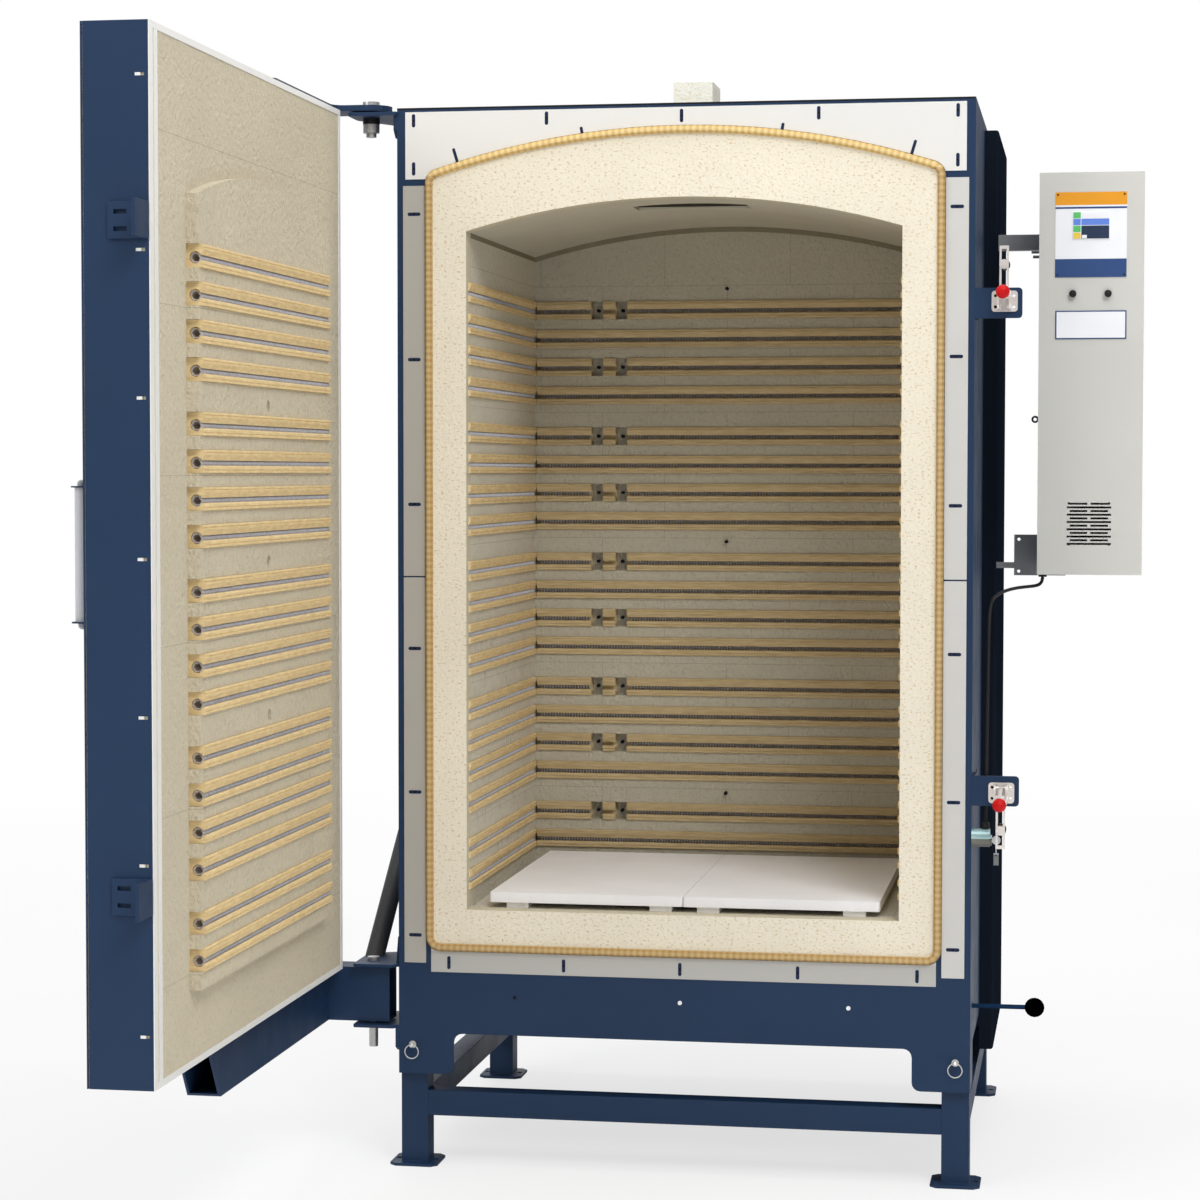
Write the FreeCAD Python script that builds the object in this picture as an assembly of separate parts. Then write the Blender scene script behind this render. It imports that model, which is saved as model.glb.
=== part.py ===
import FreeCAD, Part
import math
import os

# Front-loading kiln on a steel stand, door open at a right angle.
# X runs to the right, Y into the kiln, Z up. While it is drawn, Y = 0 is the front face of the case
# and Z = 0 is the floor. save() then moves everything so that the origin is the middle of the four feet.

V = FreeCAD.Vector

# Case
CASE_HALF_WIDTH = 469.0
CASE_DEPTH = 782.4
CASE_TOP = 1741.0
CASE_SHEET = 1.2
FRONT_SHEET = 3.0
TAB_BOTTOM = 155.0
TAB_WIDTH = 93.0
APRON_BOTTOM = 223.0
APRON_RADIUS = 14.0
FLOOR_PAN_TOP = 315.0
FLOOR_PAN_SHEET = 4.0

# Brickwork
SIDE_WALL = 114.7
BACK_SPACE = 192.4
OPENING_HALF_WIDTH = CASE_HALF_WIDTH - SIDE_WALL
OPENING_FLOOR = 429.0
ROOF_HEIGHT = 201.0
ARCH_SPRING = CASE_TOP - ROOF_HEIGHT
ARCH_RISE = 51.0
CHAMBER_BACK = CASE_DEPTH - BACK_SPACE
BACK_WALL = 114.3
COLLAR_DEPTH = 36.0
BRICK_GAP = 0.3
ROOF_FILL_GAP = 1.5
FLUE_SHIFT = 5.0
FLUE_HALF_LENGTH = 95.0
FLUE_FRONT = 126.0
FLUE_WIDTH = 74.0
FLUE_DEPTH = 60.0

# Door frame seal: a rope that runs round the brick face
SEAL_SIDE_MARGIN = 67.7
SEAL_FLOOR_MARGIN = 69.0
SEAL_TOP_MARGIN = 36.5
SEAL_RISE = 69.5
SEAL_HALF_WIDTH = OPENING_HALF_WIDTH + SEAL_SIDE_MARGIN
SEAL_BOTTOM = OPENING_FLOOR - SEAL_FLOOR_MARGIN
SEAL_CROWN = CASE_TOP - SEAL_TOP_MARGIN
SEAL_CORNER_Z = SEAL_CROWN - SEAL_RISE
SEAL_WIDTH = 12.5
SEAL_PROUD = 9.4
SEAL_CORNER_RADIUS = 24.0
SEAL_COVER = 3.0

# White trim round the seal
TRIM_SHEET = 1.2
TRIM_GAP = 0.6
TRIM_TOP_HALF_WIDTH = SEAL_HALF_WIDTH + 33.0
TRIM_TOP = CASE_TOP - 7.0
TRIM_TOP_SHOULDER = SEAL_CORNER_Z - 10.0
TRIM_SIDE_HALF_WIDTH = SEAL_HALF_WIDTH + 37.0
TRIM_SIDE_TOP = TRIM_TOP_SHOULDER - 10.5
TRIM_SIDE_BOTTOM = SEAL_BOTTOM - 20.5
TRIM_SPLIT = 976.7
TRIM_SPLIT_GAP = 2.5
TRIM_BOTTOM_HALF_WIDTH = SEAL_HALF_WIDTH - 8.0
TRIM_BOTTOM = SEAL_BOTTOM - 35.0
TRIM_SLOT_LENGTH = 20.0
TRIM_SLOT_WIDTH = 4.2
TRIM_SLOT_EDGE = 14.0

# Heating rows
ROW_TOP_DROP = 97.5
ROW_TOP = ARCH_SPRING - ROW_TOP_DROP
ROW_FLOOR_GAP = 20.0
ROW_PITCH = 51.43
GROUP_PITCH = 228.6
ROWS_PER_GROUP = 4
HOLDER_HEIGHT = 32.0
HOLDER_DEPTH = 24.0
HOLDER_PROUD = 4.0
HOLDER_BORE = 8.5
HOLDER_BORE_DEPTH = 7.0
HOLDER_SLOT = 11.0
HOLDER_CLEARANCE = 0.3
ELEMENT_CLEARANCE = 0.3
ELEMENT_INSET = 3.0
TERMINAL_MARGIN = 105.5
TERMINAL_OUTER = OPENING_HALF_WIDTH - TERMINAL_MARGIN
TERMINAL_POCKET = 21.5
TERMINAL_BRIDGE = 23.1
TERMINAL_PIN_RADIUS = 3.0
TERMINAL_PIN_BACK = 32.0
THERMOCOUPLE_RADIUS = 3.0
THERMOCOUPLE_TIP = 12.0
THERMOCOUPLE_RAISE = 37.1

# Shelves on posts
SHELF_HALF_WIDTH = OPENING_HALF_WIDTH - 32.8
SHELF_FRONT = 30.0
SHELF_BACK = CHAMBER_BACK - 22.0
SHELF_TOP = OPENING_FLOOR + 26.0
SHELF_THICKNESS = 16.5
SHELF_SPLIT = 1.0
POST_SIZE = 37.0
POST_CENTRES_X = (-SHELF_HALF_WIDTH + 45.0, -37.5, 41.0, SHELF_HALF_WIDTH - 41.5)
POST_FRONT = 36.0
POST_BACK = SHELF_BACK - 43.0

# Stand
LEG_TUBE = 44.45
LEG_WALL = 3.2
LEG_INSET_Y = 13.8
FOOT_SIZE = 80.0
FOOT_THICKNESS = 5.0
FOOT_CORNER = 10.0
FOOT_HOLE_RADIUS = 4.5
FOOT_HOLE_OFFSET = 31.0
RAIL_TOP = 125.0
RAIL_HEIGHT = 42.0
RAIL_WIDTH = 38.0
RAIL_WALL = 3.0
PIN_RADIUS = 4.0
PIN_Z = 203.4
PIN_LENGTH = 24.0
PIN_CLEARANCE = 0.4
PIN_HEAD_RADIUS = 4.6
PIN_NECK = 5.0
PIN_EYE = 2.0
RING_RADIUS = 11.4
RING_WIRE = 0.9

# Covers on the right side and the back
SIDE_COVER_FRONT = 363.0
SIDE_COVER_DEPTH = 24.0
SIDE_COVER_BOTTOM = TAB_BOTTOM + 1.0
SIDE_COVER_TOP = CASE_TOP - 12.0
COVER_SHEET = 1.5
COVER_EDGE = 5.0
REAR_COVER_HALF_WIDTH = CASE_HALF_WIDTH + 15.5
REAR_COVER_BOTTOM = TAB_BOTTOM + 2.0
REAR_COVER_TOP = CASE_TOP - 7.0
REAR_COVER_DEPTH = 22.0
LOUVRE_LENGTH = 160.0
LOUVRE_HEIGHT = 8.0
LOUVRE_PITCH = 24.0
LOUVRE_MARGIN = 90.0
LOUVRE_COUNT = 8

# Door, drawn open: its brick face looks towards +X. Shut, it overlaps the case on both sides
HINGE_X = -CASE_HALF_WIDTH - 51.0
HINGE_Y = 32.0
DOOR_FACE_X = HINGE_X - 42.0
DOOR_DEPTH = 93.0
DOOR_SKIN_X = DOOR_FACE_X - DOOR_DEPTH
DOOR_HINGE_LAP = 5.0
DOOR_FREE_LAP = 31.0
DOOR_HINGE_Y = HINGE_Y + HINGE_X + CASE_HALF_WIDTH + DOOR_HINGE_LAP
DOOR_FREE_Y = HINGE_Y + HINGE_X - CASE_HALF_WIDTH - DOOR_FREE_LAP
DOOR_BOTTOM = 328.0
DOOR_TOP = CASE_TOP - 3.0
DOOR_SHEET = 2.0
DOOR_LIP = 1.5
DOOR_TRIM_SHEET = 1.2
DOOR_TRIM_HINGE = 10.0
DOOR_TRIM_FREE = 35.0
DOOR_TRIM_ENDS = 9.0
DOOR_TRIM_LINE = 5.0
DOOR_TRIM_OUTER_STRIP = 16.0
PLUG_RAISE = 17.0
PLUG_GAP = 10.0
PLUG_BASE_GAP = 7.0
PLUG_SPRING_DROP = 13.5
PLUG_RISE = 47.0
DOOR_ROW_END_GAP = 8.0
PEEP_Y = HINGE_Y + HINGE_X - 6.0
PEEP_Z = (1245.0, 1016.0, 789.0)
PEEP_RADIUS = 9.0
PEEP_TAPER = 2.0
PEEP_HEAD_RADIUS = 17.0
PEEP_HEAD = 14.0
PEEP_CLEARANCE = 0.5
PEEP_RECESS = 6.0
FLANGE_SLOT_Z = (DOOR_TOP - 70.5, 1439.0, 1245.0, 1033.0, 824.0, 628.0, DOOR_BOTTOM + 72.0)
FLANGE_SLOT_X = DOOR_FACE_X - 12.0
FLANGE_SLOT_LENGTH = 13.0
FLANGE_SLOT_WIDTH = 4.4

# Hinges
HINGE_PLATE = 6.0
HINGE_FRONT = -9.5
SHUT_CLEARANCE = 0.5
TOP_BRACKET_FRONT = HINGE_Y + DOOR_FACE_X - HINGE_X + DOOR_TRIM_SHEET + SHUT_CLEARANCE
HINGE_LEFT = HINGE_X - 30.0
HINGE_RUN = 0.05
TOP_BRACKET_TOP = DOOR_TOP - 3.0
TOP_BRACKET_BACK = 190.0
TOP_BRACKET_SIDE = 66.0
TOP_BRACKET_DROP = 35.0
TOP_PIN_RADIUS = 8.5
TOP_PIN_END = TOP_BRACKET_TOP - 37.0
TOP_COLLAR_RADIUS = 14.0
TOP_COLLAR_SPLIT = TOP_BRACKET_TOP - 16.0
TOP_COLLAR_END = TOP_BRACKET_TOP - 30.0
DOOR_PLATE_THICKNESS = 9.5
DOOR_PLATE_RADIUS = 35.0
DOOR_PLATE_LENGTH = 330.0
ARM_HEIGHT = 90.0
ARM_WIDTH = 50.8
ARM_WALL = 4.0
ARM_END_X = HINGE_X + 33.0
ARM_RUN_X = DOOR_FACE_X - 53.6
ARM_RUN_END_BOTTOM = -600.0
ARM_RUN_END_TOP = -660.0
BOTTOM_PIN_RADIUS = 7.5
BOTTOM_PIN_END = DOOR_BOTTOM - 136.0
BOTTOM_HEAD = 6.0
BOTTOM_HEAD_RADIUS = 10.0
WASHER_RADIUS = 14.0
BOTTOM_PLATE = 5.0
BOTTOM_FLANGE_RISE = 47.0
BOTTOM_FLANGE_DROP = 45.0
BOTTOM_PLATE_BACK = 104.0
BOTTOM_FLANGE_BACK = 130.0
STRUT_RADIUS = 16.0
STRUT_SHIFT = 10.0
STRUT_FOOT_Y = HINGE_Y + 52.0
STRUT_PLATE_HALF = 30.0
STRUT_FLANGE_DEPTH = 56.0
STRUT_RUN = 300.0
STRUT_RISE = 234.0

# Latches: a keeper on the door and a toggle clamp on the case, twice
KEEPER_SHEET = 5.0
KEEPER_INNER_X = DOOR_FACE_X - 0.5
KEEPER_OUTER_X = DOOR_FACE_X - 55.0
KEEPER_REACH = 55.0
CLAMP_BASE_UPPER = 1418.5
CLAMP_BASE_LOWER = 639.0
KEEPER_UPPER = (CLAMP_BASE_UPPER + 34.5, CLAMP_BASE_UPPER + 83.5)
KEEPER_LOWER = (CLAMP_BASE_LOWER - 77.0, CLAMP_BASE_LOWER - 28.0)
KEEPER_SLOT_RISE = (13.0, 35.6)
KEEPER_SLOT_X = DOOR_FACE_X - 38.0
KEEPER_SLOT_LENGTH = 18.0
KEEPER_SLOT_WIDTH = 6.0
CLAMP_X = CASE_HALF_WIDTH + 46.85
CLAMP_PLATE_REACH = CLAMP_X + 27.75
CLAMP_PLATE_HEIGHT = 48.0
CLAMP_PLATE = 5.0
CLAMP_PLATE_SHIFT = 2.5
CLAMP_FLANGE_DEPTH = 60.0
CLAMP_BASE_WIDTH = 40.8
CLAMP_BASE_HEIGHT = 33.0
CLAMP_SHEET = 3.0
CLAMP_HOLE_X = 14.5
CLAMP_HOLE_Z = 8.8
CLAMP_HOLE_RADIUS = 2.6
EAR_SHEET = 2.4
EAR_GAP = 0.4
CLAMP_BASE_CORNER = 5.0
EAR_REACH = 46.0
EAR_HEIGHT = 31.0
ARM_BAR_WIDTH = 14.4
ARM_BAR_SLOT = 8.0
ARM_BAR_DEPTH = 9.0
ARM_PIVOT_Y = -37.5
ARM_PIVOT_RISE = 5.0
ARM_BAR_END = 84.5
SPINDLE_RISE = 55.5
SPINDLE_RADIUS = 3.0
SPINDLE_HEAD = 8.0
SPINDLE_WASHER = 7.5
TIP_RADIUS = 9.0
TIP_LENGTH = 13.0
TIP_STAND_OFF = 16.3
PIVOT_RADIUS = 2.5
LEVER_WIDTH = 6.0
LEVER_DEPTH = 7.0
LEVER_PIVOT_Y = -18.0
LEVER_PIVOT_RISE = -9.5
BALL_Y = -94.0
BALL_RISE = 9.5
BALL_RADIUS = 11.0

# Door interlock and its key
LOCK_Y = 8.0
LOCK_Z = 566.0
LOCK_RADIUS = 15.0
LOCK_TOP = LOCK_Z + LOCK_RADIUS
LOCK_OUTER_X = CASE_HALF_WIDTH + 29.0
LOCK_BARREL_RADIUS = 8.5
LOCK_BARREL_END = LOCK_OUTER_X + 3.0
LOCK_BARREL_Z = LOCK_Z - 4.0
LOCK_KEYWAY_RADIUS = 3.2
KEY_BOW_RADIUS = 7.0
KEY_HOLE_RADIUS = 1.6
KEY_BOW_THICKNESS = 2.4
KEY_TAG_BOTTOM = LOCK_BARREL_Z - 40.0
KEY_CLEARANCE = 0.06

# Air damper under the chamber
DAMPER_Y = 76.0
DAMPER_Z = 283.0
DAMPER_ROD_RADIUS = 3.7
DAMPER_BALL_X = CASE_HALF_WIDTH + 100.0
DAMPER_BALL_RADIUS = 16.0
DAMPER_PLATE_LENGTH = 110.0
DAMPER_PLATE_WIDTH = 90.0
DAMPER_PLATE_X = 250.0
DAMPER_PLATE_THICKNESS = 3.0
DAMPER_CLEARANCE = 0.3
AIR_HOLE_RADIUS = 30.0

# Control box on two arms
BOX_LEFT = CASE_HALF_WIDTH + 96.0
BOX_RIGHT = BOX_LEFT + 170.0
BOX_BOTTOM = 980.0
BOX_TOP = BOX_BOTTOM + 659.5
BOX_FRONT = 200.0
BOX_BACK = BOX_FRONT + 162.7
BOX_SHEET = 1.5
COVER_LIP = 12.0
PANEL_LEFT = BOX_LEFT + 26.0
PANEL_RIGHT = PANEL_LEFT + 115.5
PANEL_TOP = BOX_TOP - 32.5
PANEL_BOTTOM = PANEL_TOP - 139.0
PANEL_THICKNESS = 1.0
SCREEN_LEFT = PANEL_LEFT + 28.0
SCREEN_RIGHT = SCREEN_LEFT + 60.0
SCREEN_TOP = PANEL_TOP - 32.0
SCREEN_BOTTOM = SCREEN_TOP - 45.0
SCREEN_THICKNESS = 1.6
FUSE_X = (BOX_LEFT + 55.0, BOX_LEFT + 112.0)
FUSE_Z = PANEL_BOTTOM - 27.0
FUSE_RADIUS = 6.0
FUSE_CAP = 8.0
FUSE_BODY = 28.0
VENT_LEFT = BOX_LEFT + 48.0
VENT_RIGHT = VENT_LEFT + 72.0
VENT_BOTTOM = BOX_BOTTOM + 48.0
VENT_TOP = VENT_BOTTOM + 72.0
VENT_ROWS = 12
VENT_SLOT = 3.4
VENT_BRIDGE = 5.0
FAN_THICKNESS = 20.0
FAN_BORE = 37.0
FAN_HUB = 14.0
FAN_BLADES = 7
FAN_SPOKE = 4.0
FAN_GAP = 0.4
ARM_TUBE = 26.0
UPPER_ARM_Z = BOX_TOP - 113.5
LOWER_ARM_Z = BOX_BOTTOM + 5.0
LOWER_ARM_HEIGHT = 10.0
BRACKET_LEFT = BOX_LEFT - 42.0
BRACKET_BOTTOM = BOX_BOTTOM - 7.0
BRACKET_TOP = BRACKET_BOTTOM + 69.5
BRACKET_SHEET = 3.0
BRACKET_LAP = 45.0
BRACKET_HOLE_RADIUS = 2.8
LOWER_ARM_LAP = 35.0
LOWER_ARM_DEPTH = 10.0
ARM_TUBE_WALL = 2.0
ARM_COVER_X = CASE_HALF_WIDTH + SIDE_COVER_DEPTH
SHELL_INSET = BOX_SHEET + 0.2
SIDE_BOLTS = ((5.5, 17.5), (13.5, 15.0))
SIDE_BOLT_RADIUS = 2.6

# Lead from the control box to the interlock
LEAD_RADIUS = 2.75
LEAD_SIDES = 10
GLAND_RADIUS = 7.0
GLAND_GAP = 0.4
LEAD_ROUTE = (
    (BOX_LEFT + 9.0, BOX_FRONT + 30.0, BOX_BOTTOM - 5.0), (573.4, 229.4, 968.5), (569.5, 226.0, 963.0),
    (562.0, 219.5, 960.5), (547.0, 203.0, 959.5), (530.5, 172.0, 958.5), (513.0, 120.0, 955.0),
    (500.5, 68.0, 948.5), (496.0, 42.0, 940.0), (494.2, 25.0, 923.0), (493.6, 13.5, 885.0),
    (CASE_HALF_WIDTH + 22.0, 8.0, LOCK_TOP + 10.0),
)

# Exhaust plug of soft brick in the roof
VENT_PLUG_LEFT = -35.0
VENT_PLUG_RIGHT = 30.0
VENT_PLUG_FRONT = 150.0
VENT_PLUG_DEPTH = 100.0
VENT_PLUG_TOP = CASE_TOP + 54.0
VENT_PLUG_SEAT = CASE_TOP - 51.0
VENT_PLUG_CLEARANCE = 1.0
VENT_NECK_MARGIN = 12.0

# Small round pieces in flat facets
RING_PIECES = 18
BALL_RINGS = 8
BALL_SIDES = 14
CORNER_STEPS = 4
COLLAR_SIDES = 20
SMALL_SIDES = 12

# Door handle
HANDLE_X = DOOR_SKIN_X - 31.5
HANDLE_Y = DOOR_FREE_Y + 83.0
HANDLE_RADIUS = 9.5
HANDLE_BOTTOM = 946.0
HANDLE_TOP = 1127.0
HANDLE_WALL = 1.6
HANDLE_PLATE = 2.0
HANDLE_PLATE_REACH = DOOR_SKIN_X - 44.0
HANDLE_PLATE_WIDTH = 30.0
HANDLE_BOLT = 3.0
HANDLE_NUT = 5.5


def save(name, *solids):
    """Write the solids of one piece, with the middle of the feet as the origin."""
    shape = solids[0] if len(solids) == 1 else Part.makeCompound(list(solids))
    shape = shape.copy()
    shape.translate(V(0, -CASE_DEPTH / 2, 0))
    shape.exportStep("parts/" + name + ".step")
    print(name, len(shape.Solids), "solids", "valid" if shape.isValid() else "NOT VALID")


def box(x0, x1, y0, y1, z0, z1):
    return Part.makeBox(x1 - x0, y1 - y0, z1 - z0, V(x0, y0, z0))


def rod(x, y, z, axis, length, radius):
    return Part.makeCylinder(radius, length, V(x, y, z), V(*axis))


AXES = {
    (1, 0, 0): (V(0, 1, 0), V(0, 0, 1)),
    (0, 1, 0): (V(0, 0, 1), V(1, 0, 0)),
    (0, 0, 1): (V(1, 0, 0), V(0, 1, 0)),
}


def polygon(centre, axis, radius, sides):
    """The corners of a regular polygon across an axis."""
    u, v = AXES[axis]
    turns = [2 * math.pi * (n + 0.5) / sides for n in range(sides)]
    return [centre + u * (radius * math.cos(t)) + v * (radius * math.sin(t)) for t in turns]


def bar(x, y, z, axis, length, radius, sides):
    """A straight bar with flat sides, as far across its corners as the radius says."""
    corners = polygon(V(x, y, z), axis, radius, sides)
    return Part.Face(Part.makePolygon(corners + corners[:1])).extrude(V(*axis) * length)


def flat_sided(rings, closed):
    """A solid whose skin is flat facets between rings of corners, a single corner being a tip."""
    faces = []
    count = max(len(ring) for ring in rings)
    for low, high in zip(rings, rings[1:] + (rings[:1] if closed else [])):
        for n in range(count):
            m = (n + 1) % count
            corners = [low[n % len(low)], low[m % len(low)], high[m % len(high)], high[n % len(high)]]
            corners = [c for i, c in enumerate(corners) if (c - corners[i - 1]).Length > 1e-6]
            faces.append(Part.Face(Part.makePolygon(corners + corners[:1])))
    if not closed:
        for ring in (rings[0], rings[-1]):
            if len(ring) > 1:
                faces.append(Part.Face(Part.makePolygon(ring + ring[:1])))
    solid = Part.Solid(Part.Shell(faces))
    solid.fixTolerance(1e-5)
    if solid.Volume < 0:
        solid.reverse()
    return solid


def wire_ring(centre, axis, ring_radius, wire_radius):
    """A ring of thin six-sided wire about an axis, in short straight pieces."""
    rings = []
    along = V(*axis)
    for spoke in polygon(V(0, 0, 0), axis, 1, RING_PIECES):
        turns = [2 * math.pi * n / 6 for n in range(6)]
        rings.append([
            centre + spoke * (ring_radius + wire_radius * math.cos(t)) + along * (wire_radius * math.sin(t))
            for t in turns
        ])
    return flat_sided(rings, True)


def ball(centre, radius):
    """A ball in flat facets, its tips along X."""
    rings = [[centre - V(radius, 0, 0)]]
    for n in range(1, BALL_RINGS):
        t = math.pi * n / BALL_RINGS
        middle = centre - V(radius * math.cos(t), 0, 0)
        rings.append(polygon(middle, (1, 0, 0), radius * math.sin(t), BALL_SIDES))
    rings.append([centre + V(radius, 0, 0)])
    return flat_sided(rings, False)


PLANES = {
    "xy": (lambda u, v, w: V(u, v, w), V(0, 0, 1)),
    "xz": (lambda u, v, w: V(u, w, v), V(0, 1, 0)),
    "yz": (lambda u, v, w: V(w, u, v), V(1, 0, 0)),
}


def outline(points, radii, place):
    """A closed wire through the points, each rounded by its radius in short straight steps."""
    count = len(points)
    if not hasattr(radii, "__len__"):
        radii = [radii] * count
    corners = []
    for i, (u, v) in enumerate(points):
        corner = V(u, v, 0)
        back = V(*points[i - 1], 0) - corner
        ahead = V(*points[(i + 1) % count], 0) - corner
        back.normalize()
        ahead.normalize()
        half = back.getAngle(ahead) / 2
        if radii[i] == 0 or abs(half - math.pi / 2) < 1e-6:
            corners.append(corner)
            continue
        reach = radii[i] / math.tan(half)
        inward = back + ahead
        inward.normalize()
        centre = corner + inward * (radii[i] / math.sin(half))
        first = (corner + back * reach - centre).normalize()
        last = (corner + ahead * reach - centre).normalize()
        turn = first.getAngle(last)
        for step in range(CORNER_STEPS + 1):
            f = step / CORNER_STEPS
            spoke = first * math.sin((1 - f) * turn) + last * math.sin(f * turn)
            corners.append(centre + spoke * (radii[i] / math.sin(turn)))
    corners = [place(c) for i, c in enumerate(corners) if (c - corners[i - 1]).Length > 1e-6]
    return Part.makePolygon(corners + corners[:1])


def prism(points, plane, low, high, radii=0):
    """A plate whose outline lies in a plane and whose thickness runs from low to high."""
    place, normal = PLANES[plane]
    wire = outline(points, radii, lambda p: place(p.x, p.y, low))
    return Part.Face(wire).extrude(normal * (high - low))


def rectangle(u0, u1, v0, v1):
    return [(u0, v0), (u1, v0), (u1, v1), (u0, v1)]


def arched(half_width, bottom, spring, rise, y0, y1, corner=0.0):
    """A block with straight sides and a round-arched top, seen from the front."""
    left = -half_width
    right = half_width
    crown = V(0, y0, spring + rise)
    edges = [
        Part.LineSegment(V(left, y0, spring), V(left, y0, bottom)).toShape(),
        Part.LineSegment(V(left, y0, bottom), V(right, y0, bottom)).toShape(),
        Part.LineSegment(V(right, y0, bottom), V(right, y0, spring)).toShape(),
        Part.Arc(V(right, y0, spring), crown, V(left, y0, spring)).toShape(),
    ]
    block = Part.Face(Part.Wire(edges)).extrude(V(0, y1 - y0, 0))
    if corner:
        upright = [e for e in block.Edges if abs(e.tangentAt(e.FirstParameter).y) > 0.999]
        block = block.makeFillet(corner, upright)
    return block


def seal_block(inset, y0, y1):
    """The shape that the seal runs round, drawn in by inset on every side."""
    half = SEAL_HALF_WIDTH - inset
    rise = SEAL_CROWN - SEAL_CORNER_Z
    radius = (SEAL_HALF_WIDTH ** 2 + rise ** 2) / (2 * rise) - inset
    rise = radius - math.sqrt(radius ** 2 - half ** 2)
    spring = SEAL_CROWN - inset - rise
    return arched(half, SEAL_BOTTOM + inset, spring, rise, y0, y1, corner=SEAL_CORNER_RADIUS - inset)


def row_heights():
    """Rows from the top down, in groups, as long as a holder clears the floor."""
    heights = []
    z = ROW_TOP
    while z - HOLDER_HEIGHT / 2 > OPENING_FLOOR + ROW_FLOOR_GAP:
        heights.append(z)
        group, place = divmod(len(heights), ROWS_PER_GROUP)
        z = ROW_TOP - group * GROUP_PITCH - place * ROW_PITCH
    return heights


ROW_HEIGHTS = row_heights()
SPLIT_ROWS = ROW_HEIGHTS[0::2]

# Each heated wall: how a depth in front of its face, a length along it and a height become a place
WALLS = {
    "left": (lambda d, a, z: V(-OPENING_HALF_WIDTH + d, a, z), V(0, 1, 0)),
    "right": (lambda d, a, z: V(OPENING_HALF_WIDTH - d, a, z), V(0, 1, 0)),
    "back": (lambda d, a, z: V(a, CHAMBER_BACK - d, z), V(1, 0, 0)),
    "door": (lambda d, a, z: V(PLUG_X + d, a, z), V(0, 1, 0)),
}
PLUG_X = DOOR_FACE_X + PLUG_RAISE


def channel(wall, start, end, z):
    """A holder of hard ceramic: a C section with an eight-sided bore, its slot towards the chamber."""
    place, along = WALLS[wall]
    half = HOLDER_HEIGHT / 2
    slot = HOLDER_SLOT / 2
    back = HOLDER_PROUD - HOLDER_DEPTH
    flat = HOLDER_BORE * math.tan(math.pi / 8)
    middle = -HOLDER_BORE_DEPTH
    mouth = middle + HOLDER_BORE - max(0.0, slot - flat)
    points = [
        (HOLDER_PROUD, slot), (HOLDER_PROUD, half), (back, half), (back, -half), (HOLDER_PROUD, -half),
        (HOLDER_PROUD, -slot), (mouth, -slot), (middle + flat, -HOLDER_BORE), (middle - flat, -HOLDER_BORE),
        (middle - HOLDER_BORE, -flat), (middle - HOLDER_BORE, flat), (middle - flat, HOLDER_BORE),
        (middle + flat, HOLDER_BORE), (mouth, slot),
    ]
    wire = Part.makePolygon([place(d, start, z + h) for d, h in points + points[:1]])
    return Part.Face(wire).extrude(along * (end - start))


def groove(wall, start, end, z):
    """The slot in the brickwork that a holder lies in."""
    place, along = WALLS[wall]
    half = HOLDER_HEIGHT / 2 + HOLDER_CLEARANCE
    deep = HOLDER_PROUD - HOLDER_DEPTH - HOLDER_CLEARANCE
    corners = [(deep, -half), (PLUG_RAISE, -half), (PLUG_RAISE, half), (deep, half)]
    wire = Part.makePolygon([place(d, start, z + h) for d, h in corners + corners[:1]])
    return Part.Face(wire).extrude(along * (end - start))


def element(wall, start, end, z):
    """One straight run of heating element, as thick as its winding."""
    place, along = WALLS[wall]
    radius = (HOLDER_BORE - ELEMENT_CLEARANCE) / math.cos(math.pi / 8)
    centre = place(-HOLDER_BORE_DEPTH, start, z)
    axis = (round(along.x), round(along.y), 0)
    return bar(centre.x, centre.y, centre.z, axis, end - start, radius, 8)


SIDE_ROW_START = COLLAR_DEPTH / 2
SIDE_ROW_END = CHAMBER_BACK - HOLDER_PROUD - HOLDER_CLEARANCE
BACK_ROW_HALF = OPENING_HALF_WIDTH - HOLDER_PROUD - HOLDER_CLEARANCE
POCKET_A = (-TERMINAL_OUTER, -TERMINAL_OUTER + TERMINAL_POCKET)
BRIDGE = (POCKET_A[1], POCKET_A[1] + TERMINAL_BRIDGE)
POCKET_B = (BRIDGE[1], BRIDGE[1] + TERMINAL_POCKET)
DOOR_CENTRE_Y = HINGE_X + HINGE_Y
PLUG_HALF = OPENING_HALF_WIDTH - PLUG_GAP
PLUG_FREE_Y = DOOR_CENTRE_Y - PLUG_HALF
PLUG_HINGE_Y = DOOR_CENTRE_Y + PLUG_HALF
DOOR_ROW_END = PLUG_HINGE_Y - DOOR_ROW_END_GAP
FRAME_SEAM = SEAL_WIDTH - SEAL_COVER


def side_outline():
    """A side wall of the case: low tabs at both ends, the apron between them."""
    front = FRONT_SHEET
    back = CASE_DEPTH - CASE_SHEET
    top = CASE_TOP - CASE_SHEET
    return [
        (front, TAB_BOTTOM), (TAB_WIDTH, TAB_BOTTOM), (TAB_WIDTH, APRON_BOTTOM),
        (CASE_DEPTH - TAB_WIDTH, APRON_BOTTOM), (CASE_DEPTH - TAB_WIDTH, TAB_BOTTOM),
        (back, TAB_BOTTOM), (back, top), (front, top),
    ]


def apron_outline():
    """The front and the back of the case: a full sheet with two low tabs."""
    side = CASE_HALF_WIDTH
    inner = side - TAB_WIDTH
    top = CASE_TOP - CASE_SHEET
    return [
        (-side, TAB_BOTTOM), (-inner, TAB_BOTTOM), (-inner, APRON_BOTTOM), (inner, APRON_BOTTOM),
        (inner, TAB_BOTTOM), (side, TAB_BOTTOM), (side, top), (-side, top),
    ]


APRON_RADII = [0, APRON_RADIUS, APRON_RADIUS, APRON_RADIUS, APRON_RADIUS, 0, 0, 0]


def case_left_panel():
    return prism(side_outline(), "yz", -CASE_HALF_WIDTH, -CASE_HALF_WIDTH + CASE_SHEET)


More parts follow.
